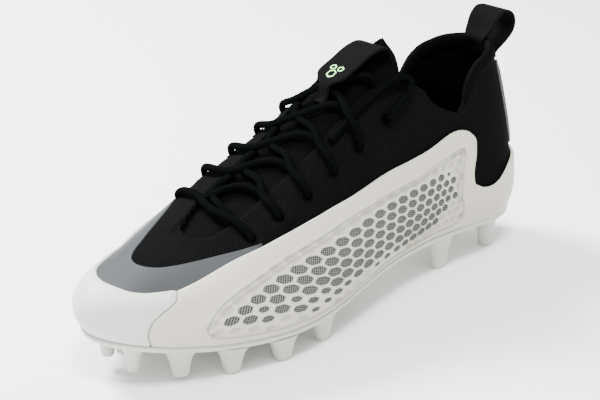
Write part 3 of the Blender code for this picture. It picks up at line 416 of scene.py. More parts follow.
def folded(places):
    """(u, h) of places on the flat map, u being where the place lies on a wall's line."""
    found = []
    for place in places:
        away = place - MAP_CROWN
        off = away[:, 0] * MAP_WAY[:, 1] - away[:, 1] * MAP_WAY[:, 0]
        out = -(away * MAP_WAY).sum(1)
        turn = (off * np.roll(off, -1) <= 0) & (out > -1e-4)
        if not turn.any():
            turn = np.abs(off) == np.abs(off[out > -1e-4]).min()
        i = np.flatnonzero(turn)
        i = i[np.argmin(np.abs(off[i]) - 0.001 * out[i])]
        j = (i + 1) % len(MAP_U)
        t = off[i] / (off[i] - off[j]) if off[i] != off[j] else 0.0
        t = min(max(t, 0.0), 1.0)
        u = (MAP_U[i] + t / len(MAP_U)) % 1
        down = max(out[i] + t * (out[j] - out[i]), 0)
        found.append((u, MAP_WHOLE[i] + t * (MAP_WHOLE[j] - MAP_WHOLE[i]) - down))
    return np.array(found)


def rounded(chords, rows, q, closed):
    """Rows at q by a Hermite curve, its slopes the means of the chords' slopes on both sides."""
    h = np.diff(chords)[:, None]
    grade = np.diff(rows, axis=0) / h
    ends = (grade[-1:], grade[:1], h[-1:], h[:1]) if closed else (grade[:1], grade[-1:], h[:1], h[-1:])
    before, after = np.vstack([ends[0], grade]), np.vstack([grade, ends[1]])
    h_before, h_after = np.vstack([ends[2], h]), np.vstack([h, ends[3]])
    slope = (before * h_after + after * h_before) / (h_before + h_after)
    i = np.clip(np.searchsorted(chords, q, side="right") - 1, 0, len(chords) - 2)
    h = h[i]
    t = (q - chords[i])[:, None] / h
    return (
        (1 + 2 * t) * (1 - t) ** 2 * rows[i] + t * (1 - t) ** 2 * h * slope[i]
        + t ** 2 * (3 - 2 * t) * rows[i + 1] - t ** 2 * (1 - t) * h * slope[i + 1]
    )


def edge_curve(table, step=0.0015, closed=False):
    """Points every `step` along a smooth curve through a table of (round, up) shares, as (u, h)."""
    rows = np.array(table)
    if closed:
        rows = np.vstack([rows, rows[:1]])
    knots = unrolled(rows[:, 0], rows[:, 1] * full(rows[:, 0]))
    chords = walk_of(knots)
    q = np.linspace(0, chords[-1], 12 * len(rows))
    curve = rounded(chords, knots, q, closed)
    places = point(*folded(curve).T)
    walk = walk_of(places)
    marks = np.linspace(0, walk[-1], max(2, round(walk[-1] / step)) + 1)
    q = np.interp(marks, walk, q)
    found = folded(rounded(chords, knots, q, closed))
    return found[:-1] if closed else found


def inside(places, loops):
    """Which places lie within an odd number of the closed loops."""
    hit = np.zeros(len(places), bool)
    for loop in loops:
        low, high = loop.min(0), loop.max(0)
        near = np.flatnonzero(((places >= low) & (places <= high)).all(1))
        x, y = places[near].T
        turn = np.zeros(len(near), bool)
        for (ax, ay), (bx, by) in zip(loop, np.roll(loop, -1, axis=0)):
            if ay != by:
                turn ^= ((ay > y) != (by > y)) & (x < ax + (y - ay) * (bx - ax) / (by - ay))
        hit[near] ^= turn
    return hit


def lattice(step):
    """(u, h) points about `step` apart on the whole skin, in level rows, every second row half a step on."""
    found = []
    for number, h in enumerate(np.arange(0.4 * step, MAP_FULL.max(), 0.87 * step)):
        open_here = MAP_FULL > h + 0.3 * step
        walls = tuple(part[open_here] for part in MAP_WALLS)
        places = on_walls(walls, np.full(open_here.sum(), h))
        gaps = np.linalg.norm(np.diff(places, axis=0), axis=1)
        walk = np.concatenate([[0], np.cumsum(np.where(gaps < 3 * step, gaps, 0))])
        marks = np.arange(0.5 * (number % 2), walk[-1] / step - 0.4, 1.0) * step
        found.append(np.column_stack([np.interp(marks, walk, MAP_U[open_here]), np.full(len(marks), h)]))
    found = np.vstack(found)
    found = found[full(found[:, 0]) > found[:, 1] + 0.3 * step]
    places = point(*found.T)
    tree = tree_of(places)
    kept = np.ones(len(found), bool)
    for i in np.flatnonzero(full(found[:, 0]) < found[:, 1] + 2 * step):
        if kept[i]:
            for _, j, _ in tree.find_range(places[i], 0.6 * step):
                kept[j] &= j <= i
    return found[kept]


def tree_of(places):
    tree = KDTree(len(places))
    for i, place in enumerate(places):
        tree.insert(place, i)
    tree.balance()
    return tree


def distances(places, tree):
    return np.array([tree.find(place)[2] for place in places])


def filled(loop, step=0.0006):
    """A closed loop of (u, h) with more points along its straight runs."""
    ahead = np.roll(loop, -1, axis=0) - loop
    ahead[:, 0] = (ahead[:, 0] + 0.5) % 1 - 0.5
    count = max(1, math.ceil(np.linalg.norm(np.diff(point(*loop.T), axis=0), axis=1).max() / step))
    return (loop[:, None] + ahead[:, None] * (np.arange(count) / count)[None, :, None]).reshape(-1, 2)


def square_to(run, ahead):
    """For steps `ahead` along a run of (u, h), the change of (u, h) per metre square to them on the skin."""
    round_way, up_way = slopes(*run.T)
    along = round_way * ahead[:, :1] + up_way * ahead[:, 1:]
    side = unit(np.cross(np.cross(up_way, round_way), along))
    uu, uh, hh = (round_way ** 2).sum(1), (round_way * up_way).sum(1), (up_way ** 2).sum(1)
    ru, rh = (round_way * side).sum(1), (up_way * side).sum(1)
    return np.column_stack([ru * hh - rh * uh, rh * uu - ru * uh]) / (uu * hh - uh * uh)[:, None]


def border_rings(loop, depths):
    """Rings at each depth beside a closed loop of (u, h), square to it on the skin, on both sides."""
    ahead = np.roll(loop, -1, axis=0) - np.roll(loop, 1, axis=0)
    ahead[:, 0] = (ahead[:, 0] + 0.5) % 1 - 0.5
    shift = square_to(loop, ahead)
    return np.vstack([loop + sign * depth * shift for depth in depths for sign in (-1, 1)])


LATTICES = {}


def sheet_mesh(loops, step, depths, extra=None):
    """Triangles between loops of (u, h), on rings along the borders, extra points and a lattice.

    It returns the points, the faces and each point's distance from the border.
    """
    rings = [unrolled(*loop.T) for loop in loops]
    border = point(*np.vstack([filled(loop) for loop in loops]).T)
    tree = tree_of(border)
    inner = [np.vstack([border_rings(loop, depths) for loop in loops])] if depths else []
    if extra is not None:
        inner.append(extra)
    inner = np.vstack(inner) if inner else np.zeros((0, 2))
    inner = inner[inside(unrolled(*inner.T), rings)] if len(inner) else inner
    least = 0.85 * depths[0] if depths else 0.5 * step
    away = distances(point(*inner.T), tree) if len(inner) else np.zeros(0)
    ok = away > least
    inner, away = inner[ok], away[ok]
    if step not in LATTICES:
        LATTICES[step] = lattice(step)
    grid = LATTICES[step]
    grid = grid[inside(unrolled(*grid.T), rings)]
    places = point(*grid.T)
    clear = max(depths[-1] + 0.35 * step if depths else 0, 0.5 * step)
    reach = distances(places, tree)
    ok = reach > clear
    if extra is not None:
        ok &= distances(places, tree_of(point(*extra.T))) > 0.45 * step
    found = np.vstack([inner, grid[ok]])
    away = np.concatenate([away, reach[ok]])
    places = [Vector(p) for p in np.vstack(rings + [unrolled(*found.T)])]
    edges, start = [], 0
    for ring in rings:
        n = len(ring)
        edges += [(start + i, start + (i + 1) % n) for i in range(n)]
        start += n
    out, _, faces, origins, _, _ = delaunay_2d_cdt(places, edges, [], 0, 1e-8, True)
    points = np.vstack(list(loops) + [found])
    away = np.concatenate([np.zeros(start), away])
    first = np.array([o[0] if o else -1 for o in origins])
    flat_out = np.array([tuple(p) for p in out])
    faces = np.array(faces)
    faces = faces[(first[faces] >= 0).all(1)]
    faces = faces[inside(flat_out[faces].mean(1), rings)]
    used, faces = np.unique(faces, return_inverse=True)
    points, away = points[first[used]], away[first[used]]
    return points, turned(point(*points.T), faces.reshape(-1, 3)), away


def turned(places, faces):
    """The same sheet with its inner edges turned until the triangles are as even as they can be."""
    work = bmesh.new()
    verts = [work.verts.new(p) for p in places]
    for face in faces:
        work.faces.new([verts[i] for i in face])
    work.verts.index_update()
    for method in ("AREA", "ANGLE"):
        edges = [edge for edge in work.edges if not edge.is_boundary]
        bmesh.ops.beautify_fill(work, faces=work.faces, edges=edges, method=method)
    found = np.array([[v.index for v in face.verts] for face in work.faces])
    work.free()
    return found


def closed_wall(outer, inner, faces):
    """Verts and faces of the solid between two copies of one sheet, outer[i] over inner[i]."""
    n = len(outer)
    a, b, c = (outer[faces[:, k]] for k in range(3))
    up = np.einsum("ij,ij->i", np.cross(b - a, c - a), outer[faces].mean(1) - inner[faces].mean(1))
    faces = np.where((up < 0)[:, None], faces[:, ::-1], faces)
    edges = np.concatenate([faces[:, [0, 1]], faces[:, [1, 2]], faces[:, [2, 0]]])
    known = {tuple(e) for e in edges}
    rim = np.array([e for e in known if (e[1], e[0]) not in known])
    a, b = rim.T
    sides = np.vstack([np.column_stack([b, a, a + n]), np.column_stack([b, a + n, b + n])])
    return np.vstack([outer, inner]), np.vstack([faces, faces[:, ::-1] + n, sides])


def edge_round(away, radius):
    """How far a surface falls at the distance `away` from its edge, for a quarter round of that radius."""
    gap = np.clip(radius - away, 0, radius)
    return radius - np.sqrt(radius * radius - gap * gap)


def piece(name, verts, faces, finish, slot, weave=None, sharp=50, replaces=(), shares=None):
    """A mesh object of the shoe, shaded smooth, with its own map in millimetres and its named shares."""
    mesh = bpy.data.meshes.new(name)
    faces = faces.tolist() if isinstance(faces, np.ndarray) else faces
    mesh.from_pydata(np.asarray(verts).tolist(), [], faces)
    if weave is not None:
        layer = mesh.uv_layers.new(name="weave")
        index = np.zeros(len(mesh.loops), np.int32)
        mesh.loops.foreach_get("vertex_index", index)
        layer.data.foreach_set("uv", np.asarray(weave, np.float32)[index].ravel())
    for label, values in (shares or {}).items():
        mesh.attributes.new(label, "FLOAT", "POINT").data.foreach_set("value", np.asarray(values, np.float32))
    mesh.shade_smooth()
    mesh.set_sharp_from_angle(angle=math.radians(sharp))
    mesh.materials.append(finish.material)
    made = bpy.data.objects.new(name, mesh)
    bpy.context.scene.collection.objects.link(made)
    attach(made, "root")
    if replaces:
        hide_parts(*replaces)
    return made


MID_WALL = np.minimum(0.065, 0.9 * MAP_FULL)
MID_LINE = on_walls(MAP_WALLS, MID_WALL)
MID_WALK = walk_of(MID_LINE)


def weave_map(points):
    """Along the middle of the wall and up it, in millimetres."""
    return 1000 * np.column_stack([np.interp(points[:, 0] % 1, MAP_U, MID_WALK), points[:, 1]])


def wall_piece(
    name, loops, lift_out, lift_in, finish, slot, step=SHEET_STEP, depths=(), radius=0.0, extra=None,
    replaces=(), shares=None,
):
    """A panel of the shoe. Its lifts are numbers or, like the shares, functions of (u, h, away)."""
    points, faces, away = sheet_mesh(loops, step, list(depths), extra)
    u, h = points.T
    high = lift_out(u, h, away) if callable(lift_out) else np.full(len(u), lift_out)
    low = lift_in(u, h, away) if callable(lift_in) else np.full(len(u), lift_in)
    high = np.maximum(high - edge_round(away, radius), low + 1e-4) if radius else high
    verts, faces = closed_wall(skin(u, h, high), skin(u, h, low), faces)
    found = {label: np.tile(share(u, h, away), 2) for label, share in (shares or {}).items()}
    weave = np.tile(weave_map(points), (2, 1))
    return piece(name, verts, faces, finish, slot, weave, replaces=replaces, shares=found)


def round_scale(u, h):
    """Metres on the skin per share of the way round, at (u, h)."""
    here = point([u, u + 1e-3], [h, h])
    return np.linalg.norm(here[1] - here[0]) / 1e-3


def oval(u, h, half, sides=20):
    """A closed ring about (u, h), `half` metres from it on the skin."""
    a = 2 * np.pi * np.arange(sides) / sides
    return np.column_stack([u + half * np.cos(a) / round_scale(u, h), h + half * np.sin(a)])


EYELET_HOLLOW, THROAT_LIP, KNIT_PITCH = 0.0005, 0.0007, 1.35
TOE_TURN, TOE_BLEND = 0.118, 0.012


def knit_holes(along, up):
    """1 in the holes of the knit: rounds on a grid whose every second row lies half a pitch on."""
    row = up / (0.8 * KNIT_PITCH)
    column = along / KNIT_PITCH + 0.5 * row.one("FLOOR").one("MODULO", 2.0)
    across, over = column.one("FRACT") - 0.5, row.one("FRACT") - 0.5
    return (across * across + over * over).band(0.185, 0.085)


knit = Finish("black knit", roughness=0.8, specular_ior_level=0.01)
side_holes = knit_holes(*knit.weave())
plan = {"Vector": knit.place()}
plan_x, plan_y = knit.add("SeparateXYZ", plan) * 1000.0, knit.add("SeparateXYZ", plan, out=1) * 1000.0
toe_holes = knit_holes(plan_x + 200.0, plan_y + 400.0)
front = knit.share("front")
hole = side_holes * (1.0 - front) + toe_holes * front
thread = knit.mix(knit.noise(140.0), (0.0044, 0.0044, 0.0046), (0.0066, 0.0066, 0.0069))
knit.put(base_color=knit.mix(hole, thread, (0.0003, 0.0003, 0.0004)))
knit.put(normal=knit.bump(1.0 - hole, 0.00045, 0.8))

EYELET_SPOTS = [(u % 1, v * full(u % 1)[0]) for u, v in EYELETS]
EYELET_PLACES = point(*np.array(EYELET_SPOTS).T)
eyelet_rings = [oval(u, h, EYELET_WIDTH / 2) for u, h in EYELET_SPOTS]
FOOT_RING = np.column_stack([np.arange(430) / 430, np.zeros(430)])


def upper_lift(u, h, away):
    """The outer skin: a soft hollow round each eyelet, and a rolled lip round the front end of the throat."""
    near = distances(point(u, h), tree_of(EYELET_PLACES))
    hollow_shade = EYELET_HOLLOW * np.exp(-(near / 0.0045) ** 2)
    _, y, z = point(u, h).T
    lip = THROAT_LIP * np.exp(-((away - 0.0022) / 0.002) ** 2)
    return lip * smooth((-0.035 - y) / 0.012) * smooth((z - 0.05) / 0.01) - hollow_shade


def toe_share(u, h, away):
    """1 ahead of the throat, where the knit is mapped from above, and 0 on the sides."""
    return smooth((TOE_TURN - np.abs(u - 0.5)) / TOE_BLEND)


throat_ring = edge_curve(THROAT_EDGE, closed=True)
wall_piece(
    "knit_upper", [FOOT_RING, throat_ring] + eyelet_rings, upper_lift, -UPPER_WALL, knit, "black_knit",
    depths=(0.0003, 0.0008, 0.0022), radius=0.0006, replaces=("upper",), shares={"front": toe_share},
)


# Outsole. One moulded plate under the whole foot, with a rounded rim and fourteen studs that grow out of it.
PLATE_THICK, SEAT_GAP = 0.004, 0.0003
# Name, along and across, tip height, tip half length and width (shares of BALL_WIDTH), turn in degrees
STUDS = (
    ("heel_back_lateral", 0.918, 0.37, 0.0, 0.064, 0.048, 20),
    ("heel_back_medial", 0.918, -0.34, 0.0, 0.064, 0.048, -20),
    ("heel_front_lateral", 0.77, 0.42, 0.0, 0.074, 0.045, 4),
    ("heel_front_medial", 0.77, -0.41, 0.0, 0.074, 0.045, -4),
    ("fore_4_lateral", 0.4, 0.78, 0.0, 0.069, 0.042, 12),
    ("fore_4_medial", 0.385, -0.7, 0.0, 0.069, 0.042, -12),
    ("fore_3_lateral", 0.3, 0.81, 0.0, 0.069, 0.05, 0),
    ("fore_3_medial", 0.285, -0.81, 0.0, 0.069, 0.05, 0),
    ("fore_2_lateral", 0.205, 0.66, 0.0, 0.064, 0.051, -16),
    ("fore_2_medial", 0.195, -0.73, 0.0, 0.064, 0.051, 16),
    ("fore_1_lateral", 0.122, 0.44, 0.0028, 0.059, 0.045, -30),
    ("fore_1_medial", 0.112, -0.56, 0.0028, 0.059, 0.045, 30),
    ("toe_lateral", 0.062, 0.13, 0.006, 0.045, 0.04, -60),
    ("toe_medial", 0.058, -0.29, 0.007, 0.045, 0.04, 60),
)
# The plate's side as steps out from the foot line and up from the plate's top, in metres
RIM_SIDE = (
    (0.001, 0.0), (0.0026, -0.0001), (0.0032, -0.0006), (0.0034, -0.0013), (0.0032, -0.0022),
    (0.0027, -0.003), (0.0018, -0.0036), (0.0004, -0.004), (-0.0014, -0.0042),
)
# The tip's share of the width over it, and the power that squares up the sides: 2 is an oval
STUD_SIDES, STUD_TIP, STUD_POWER = 32, 0.72, 2.3
STUD_LEVELS = (0, 0.02, 0.05, 0.09, 0.14, 0.2, 0.28, 0.4, 0.55, 0.7, 0.82, 0.88, 0.92, 0.95, 0.975, 0.99, 1)


def plan_ring(inset, count=430):
    """The foot outline moved in by inset, as x, y."""
    u = np.arange(count) / count
    start, way, _, _ = profiles(u)
    return start + way * (station(u)[:, 2] + inset)[:, None]


def plan_sheet(ring, step=0.0045):
    """Triangles over the inside of a ring on the plan."""
    x, y = np.arange(-0.06, 0.06, step), np.arange(-0.16, 0.16, step)
    grid = np.array([(a + 0.5 * step * (k % 2), b) for k, b in enumerate(y) for a in x])
    grid = grid[inside(grid, [ring])]
    tree = tree_of(np.column_stack([ring, np.zeros(len(ring))]))
    grid = grid[distances(np.column_stack([grid, np.zeros(len(grid))]), tree) > 0.6 * step]
    places = [Vector(p) for p in np.vstack([ring, grid])]
    edges = [(i, (i + 1) % len(ring)) for i in range(len(ring))]
    out, _, faces, _, _, _ = delaunay_2d_cdt(places, edges, [], 1, 1e-9, False)
    out, faces = np.array([tuple(p) for p in out]), np.array([f for f in faces if len(f) == 3])
    return out, faces[inside(out[faces].mean(1), [ring])]


def lofted(rings, close=(True, True)):
    """Quads between closed rings of equal count, with flat ends where asked."""
    rings = np.asarray(rings)
    levels, n = rings.shape[:2]
    faces = [
        (r * n + i, r * n + (i + 1) % n, (r + 1) * n + (i + 1) % n, (r + 1) * n + i)
        for r in range(levels - 1) for i in range(n)
    ]
    faces += [tuple(range(n))[::-1]] if close[0] else []
    faces += [tuple((levels - 1) * n + i for i in range(n))] if close[1] else []
    return rings.reshape(-1, 3), faces


def plan_slab(steps, height):
    """Verts and faces, in parts, of a slab under the foot: its side by (out, up) steps and its two sheets."""
    rings = []
    for out, up in steps:
        ring = plan_ring(-out)
        rings.append(np.column_stack([ring, height(*ring.T) + up]))
    parts = [lofted(rings, (False, False))]
    for ring, up in ((rings[0], steps[0][1]), (rings[-1], steps[-1][1])):
        places, faces = plan_sheet(ring[:, :2])
        parts.append((np.column_stack([places, height(*places.T) + up]), faces))
    return [list(part) for part in zip(*parts)]


def outward(verts, faces, weld=2e-6):
    """One mesh of triangles and quads, welded and facing outward, from several lists of verts and faces."""
    work = bmesh.new()
    for part_verts, part_faces in zip(verts, faces):
        made = [work.verts.new(p) for p in part_verts]
        for face in part_faces:
            work.faces.new([made[int(i)] for i in face])
    bmesh.ops.remove_doubles(work, verts=work.verts, dist=weld)
    bmesh.ops.recalc_face_normals(work, faces=work.faces)
    work.verts.index_update()
    found = [tuple(v.co) for v in work.verts], [tuple(v.index for v in f.verts) for f in work.faces]
    work.free()
    return found


def sole_top(x, y):
    return bed(x, y) - SEAT_GAP


def stud_rings(stud):
    """Rings down a stud, which narrows to a rounded tip; its root flares as e^(-s/0.16)."""
    _, along, across, tip, half_long, half_wide, turn = stud
    a = 2 * np.pi * np.arange(STUD_SIDES) / STUD_SIDES
    turn = math.radians(turn)
    rings = []
    for s in STUD_LEVELS:
        end = math.sqrt(max(1 - max((s - 0.9) / 0.1, 0) ** 2, 0)) * (1 - STUD_TIP) + STUD_TIP
        longer = (0.7 + 0.42 * (1 - s) + 0.85 * math.exp(-s / 0.16)) * end
        wider = (0.8 + 0.36 * (1 - s) + 0.45 * math.exp(-s / 0.12)) * end
        reach = (np.abs(np.cos(a)) ** STUD_POWER + np.abs(np.sin(a)) ** STUD_POWER) ** (-1 / STUD_POWER)
        ahead = half_long * BALL_WIDTH * longer * np.cos(a) * reach
        side = half_wide * BALL_WIDTH * wider * np.sin(a) * reach
        x = across * HALF_BALL + side * math.cos(turn) - ahead * math.sin(turn)
        y = TOE_Y + along * FORM_LENGTH + ahead * math.cos(turn) + side * math.sin(turn)
        top = sole_top(x, y) - PLATE_THICK + 0.0006
        rings.append(np.column_stack([x, y, top + (tip - top) * s]))
    return rings


sole_white = Finish("sole white", roughness=0.36, specular_ior_level=0.4)
scuff = sole_white.noise(260.0, 4.0).band(0.6, 0.78)
sole_white.put(base_color=sole_white.mix(scuff * 0.25, (0.47, 0.465, 0.43), (0.37, 0.365, 0.33)))
sole_white.put(normal=sole_white.bump(sole_white.noise(900.0, 3.0), 0.00003, 0.4))

sole_verts, sole_faces = plan_slab(RIM_SIDE, sole_top)
for stud in STUDS:
    stud_verts, stud_faces = lofted(stud_rings(stud))
    sole_verts.append(stud_verts)
    sole_faces.append(stud_faces)
plate = outward(sole_verts, sole_faces)
piece("sole_plate", *plate, sole_white, "sole_white", sharp=60, replaces=("outsole",))


# Moulded shell. An off-white cage, harder than the knit and glued over it, with a honeycomb in each side.
# A whiter toe cap meets it at two S-shaped seams.
SHELL_FOOT, SEAM_GAP = -0.001, 0.0005
SHELL_TOP = (
    (0.411, 0.495), (0.375, 0.535), (0.345, 0.527), (0.314, 0.522), (0.273, 0.506), (0.224, 0.474),
    (0.18, 0.43), (0.144, 0.4), (0.13, 0.393), (0.118, 0.378), (0.107, 0.35), (0.101, 0.315),
    (0.101, 0.275), (0.104, 0.2), (0.103, 0.17), (0.097, 0.15), (0.08, 0.13), (0.07, 0.138), (0.05, 0.18),
    (0.03, 0.195), (0.0, 0.198), (-0.03, 0.195), (-0.05, 0.18), (-0.07, 0.138), (-0.08, 0.13),
    (-0.097, 0.15), (-0.104, 0.17), (-0.106, 0.2), (-0.103, 0.275), (-0.104, 0.315), (-0.111, 0.345),
    (-0.123, 0.365), (-0.15, 0.37), (-0.19, 0.38), (-0.235, 0.4), (-0.28, 0.43), (-0.32, 0.47),
    (-0.355, 0.52), (-0.39, 0.54),
)
TOE_TOP = (
    (0.431, 0.478), (0.441, 0.477), (0.457, 0.47), (0.469, 0.476), (0.483, 0.503), (0.5, 0.518),
    (0.516, 0.527), (0.535, 0.538), (0.556, 0.546), (0.58, 0.548),
)
SEAM_LATERAL = (
    (0.427, 0.47), (0.4285, 0.425), (0.43, 0.393), (0.434, 0.365), (0.444, 0.302), (0.45, 0.247),
    (0.453, 0.185), (0.452, 0.0),
)
SEAM_MEDIAL = (
    (0.588, 0.0), (0.588, 0.185), (0.59, 0.247), (0.594, 0.302), (0.6, 0.365), (0.602, 0.425),
    (0.602, 0.47),
)
# Honeycomb: the top row's places (number, round) and heights (round, share of WIDE_HEIGHT), and the window
HOLE_PLACES = ((-1, 0.403), (0, 0.391), (4, 0.3425), (8, 0.2805), (12, 0.2125), (16, 0.1565), (19, 0.1265))
HOLE_HEIGHTS = (
    (0.1, 2.2), (0.136, 2.16), (0.17, 2.06), (0.214, 2.05), (0.265, 2.03), (0.299, 1.97), (0.33, 1.81),
    (0.356, 1.5), (0.38, 1.05), (0.392, 0.78), (0.404, 0.45),
)
WINDOW_EDGE = (
    (0.4105, 0.62), (0.407, 0.9), (0.399, 1.19), (0.381, 1.58), (0.362, 1.88), (0.345, 2.12), (0.306, 2.42),
    (0.258, 2.53), (0.205, 2.5), (0.16, 2.62), (0.134, 2.8), (0.122, 2.88), (0.116, 2.8), (0.1145, 2.55),
    (0.117, 2.2), (0.1185, 1.7), (0.118, 1.2), (0.115, 0.75), (0.116, 0.42), (0.121, 0.3), (0.135, 0.26),
    (0.16, 0.25), (0.19, 0.24), (0.22, 0.24), (0.25, 0.24), (0.28, 0.24), (0.31, 0.24), (0.34, 0.24),
    (0.37, 0.25), (0.392, 0.28), (0.405, 0.38),
)
# Open cells of each column: from this column on, the first and the last open row
OPEN_ROWS = (
    (0, 0, 0), (1, 0, 1), (2, 0, 2), (4, 0, 3), (5, 0, 4), (11, 0, 5), (18, 1, 5), (19, 1, 4), (20, 3, 3),
    (21, 9, 0),
)
# Step down to the next row, in metres, and its lean along, a share of the pitch, at columns of the top row
ROW_DOWN = ((-2, 0.0064), (3, 0.0064), (5, 0.0063), (7, 0.0059), (10, 0.0055), (14, 0.0053), (19, 0.0048))
ROW_LEAN = ((-2, 0.26), (4, 0.24), (6, 0.155), (8, 0.03), (10, -0.04), (13, -0.1), (16, -0.23), (19, -0.36))
HOLE_FILL, HOLE_FADE, HOLE_LOWEST = 0.735, 14, 0.0048
# Smaller cells, by column and row: share of the common size
CELL_SIZES = {
    (2, 1): 0.68, (2, 2): 0.8, (4, 2): 0.68, (4, 3): 0.9, (5, 3): 0.7, (5, 4): 0.55, (6, 3): 0.7,
    (6, 4): 0.55, (7, 4): 0.72, (8, 4): 0.65, (9, 4): 0.88, (11, 5): 0.55, (12, 5): 0.7, (13, 5): 0.8,
    (14, 5): 0.85, (18, 0): 0.5,
}
MEDIAL_COLUMNS, MEDIAL_ROWS = range(4, 12), 2
RIB_ROUND = 0.0009


def wall_shares(table):
    """Rows of (round, share of WIDE_HEIGHT) as rows of (round, share of the wall)."""
    return np.array([(u, v * WIDE_HEIGHT / full(u)[0]) for u, v in table])


def open_rows(column):
    """First and last open row of a column."""
    return [row[1:] for row in OPEN_ROWS if row[0] <= column][-1] if column >= 0 else (9, 0)


def cell(column, row, mirror=False):
    """(u, h, shape, size) of a honeycomb cell; shape turns a unit circle into the cell's, in metres.

    With a the step along the row and c the step to the next row, both along the skin, the corners of a cell
    lie at (2a + c)/3, (a + 2c)/3 and (c - a)/3 and their opposites.
    """
    places, heights = np.array(HOLE_PLACES), np.array(HOLE_HEIGHTS)
    down, lean = (float(np.interp(column, *np.array(table).T)) for table in (ROW_DOWN, ROW_LEAN))
    number = column + row * lean
    u, beside = spline([number, number + 0.5], places[:, 0], places[:, 1])
    top, top_beside = spline([u, beside], heights[:, 0], heights[:, 1]) * WIDE_HEIGHT
    h = top - row * down
    a = 2 * np.array([(beside - u) * PERIMETER, top_beside - top])
    c = lean * a + (0, -down)
    corner, turn = (2 * a + c) / 3, (a + 2 * c) / 3
    shape = np.column_stack([corner, (2 * turn - corner) / math.sqrt(3)])
    size = HOLE_FILL * CELL_SIZES.get((column, row), 1) * (1 - 0.018 * max(0, number - HOLE_FADE))
    if mirror:
        u, shape = 1 - u, shape * [[-1], [1]]
    return u, h, shape, size


def hexagon(u, h, shape, size, sides=24):
    """A closed ring of a cell with soft corners, between a hexagon and a circle."""
    a = 2 * np.pi * np.arange(sides) / sides
    six = math.cos(math.pi / 6) / np.cos(a % (math.pi / 3) - math.pi / 6)
    reach = size * (0.62 * six + 0.38 * 0.93)
    ring = reach[:, None] * (np.column_stack([np.cos(a), np.sin(a)]) @ shape.T)
    return np.column_stack([u + ring[:, 0] / round_scale(u, h), h + ring[:, 1]])


columns = [(i, j) for i in range(-2, 23) for j in range(-3, 8)]
open_set = [(i, j) for i, j in columns if open_rows(i)[0] <= j <= open_rows(i)[1]] + [(18, 0)]
open_cells = [cell(i, j) for i, j in open_set]
medial_cells = [cell(i, j, True) for i in MEDIAL_COLUMNS for j in range(MEDIAL_ROWS)]
window_ring = edge_curve(wall_shares(WINDOW_EDGE), step=0.0016, closed=True)
WINDOW_TREE = tree_of(point(*filled(window_ring).T))
WINDOW_FLAT = unrolled(*window_ring.T)


def window_depth(u, h):
    """Distance into the window from its edge, under 0 outside it."""
    away = distances(point(u, h), WINDOW_TREE)
    return np.where(inside(unrolled(u, h), [WINDOW_FLAT]), away, -away)


BLIND_EDGE, BLIND_SIZE, BLIND_SMALL, BLIND_DEEP = 0.0012, 0.8, 0.62, 0.00055
WINDOW_DROP, BEAD_RISE, LINE_IN, LINE_DEEP, HEEL_RIM = 0.00075, 0.0004, 0.003, 0.0004, 0.0005
blind_cells = [
    cell(i, j)[:3] + (BLIND_SIZE if j < 0 or i > 8 else BLIND_SMALL,)
    for i, j in columns if (i, j) not in open_set
]
blind_cells = [
    c for c in blind_cells
    if c[1] > HOLE_LOWEST - 0.001 and window_depth(np.array([c[0]]), np.array([c[1]]))[0] > BLIND_EDGE
]


def dimples(u, h, cells):
    """1 in the bottom of each blind cell and 0 beyond its edge."""
    tree = tree_of(point([c[0] for c in cells], [c[1] for c in cells]))
    back = [np.linalg.inv(c[2]) / c[3] for c in cells]
    found = np.zeros(len(u))
    for i, place in enumerate(point(u, h)):
        _, k, away = tree.find(place)
        if away < 0.008:
            rise = h[i] - cells[k][1]
            along = math.copysign(math.sqrt(max(away ** 2 - rise ** 2, 0)), u[i] - cells[k][0])
            reach = np.linalg.norm(back[k] @ (along, rise))
            found[i] = 1 - smooth((reach - 0.62) / 0.36)
    return found


def above_line(h):
    """0 low on the wall and 1 over the height from which the window's inner line is cut."""
    return smooth((h - 0.014) / 0.006)


def cage_lift(u, h, away):
    """The shell's face: its windows lie lower behind a rounded bead, and its heel edge has a raised rim."""
    deep = window_depth(u, h)
    lift = GAP + SHELL_WALL + 0 * u
    lift -= WINDOW_DROP * smooth((deep + 0.0001) / 0.0006)
    lift += BEAD_RISE * np.exp(-((deep + 0.0007) / 0.0005) ** 2)
    lift -= LINE_DEEP * np.exp(-((deep - LINE_IN) / 0.0004) ** 2) * above_line(h)
    lift -= BLIND_DEEP * dimples(u, h, blind_cells)
    heel = smooth((0.115 - np.minimum(u % 1, 1 - u % 1)) / 0.02)
    lift += heel * HEEL_RIM * np.exp(-((away - 0.0022) / 0.0012) ** 2)
    return lift


def cage_hollow_shade(u, h, away):
    """Painted shade: how much a place lies in a groove, a blind cell, the window's foot or at the rim of a
    hole, where shade falls.
    """
    deep = window_depth(u, h)
    line = np.exp(-((deep - LINE_IN) / 0.0005) ** 2) * above_line(h)
    groove = line + 0.9 * np.exp(-((deep - 0.0005) / 0.0005) ** 2)
    rims = smooth((0.0007 - away) / 0.0007) * (deep > 0)
    return np.clip(groove + 0.6 * dimples(u, h, blind_cells) + rims, 0, 1)


def seam_pair(away):
    """The two seams between cage and toe cap, lateral down and medial up, moved back by `away`."""
    lateral, medial = edge_curve(SEAM_LATERAL), edge_curve(SEAM_MEDIAL)
    lateral[-1, 1] = medial[0, 1] = SHELL_FOOT
    return lateral - (away / PERIMETER, 0), medial + (away / PERIMETER, 0)


def foot_run(start, end, step=0.0018):
    u = np.linspace(start, end, round(abs(end - start) * PERIMETER / step) + 1)[1:-1] % 1
    return np.column_stack([u, np.full(len(u), SHELL_FOOT)])


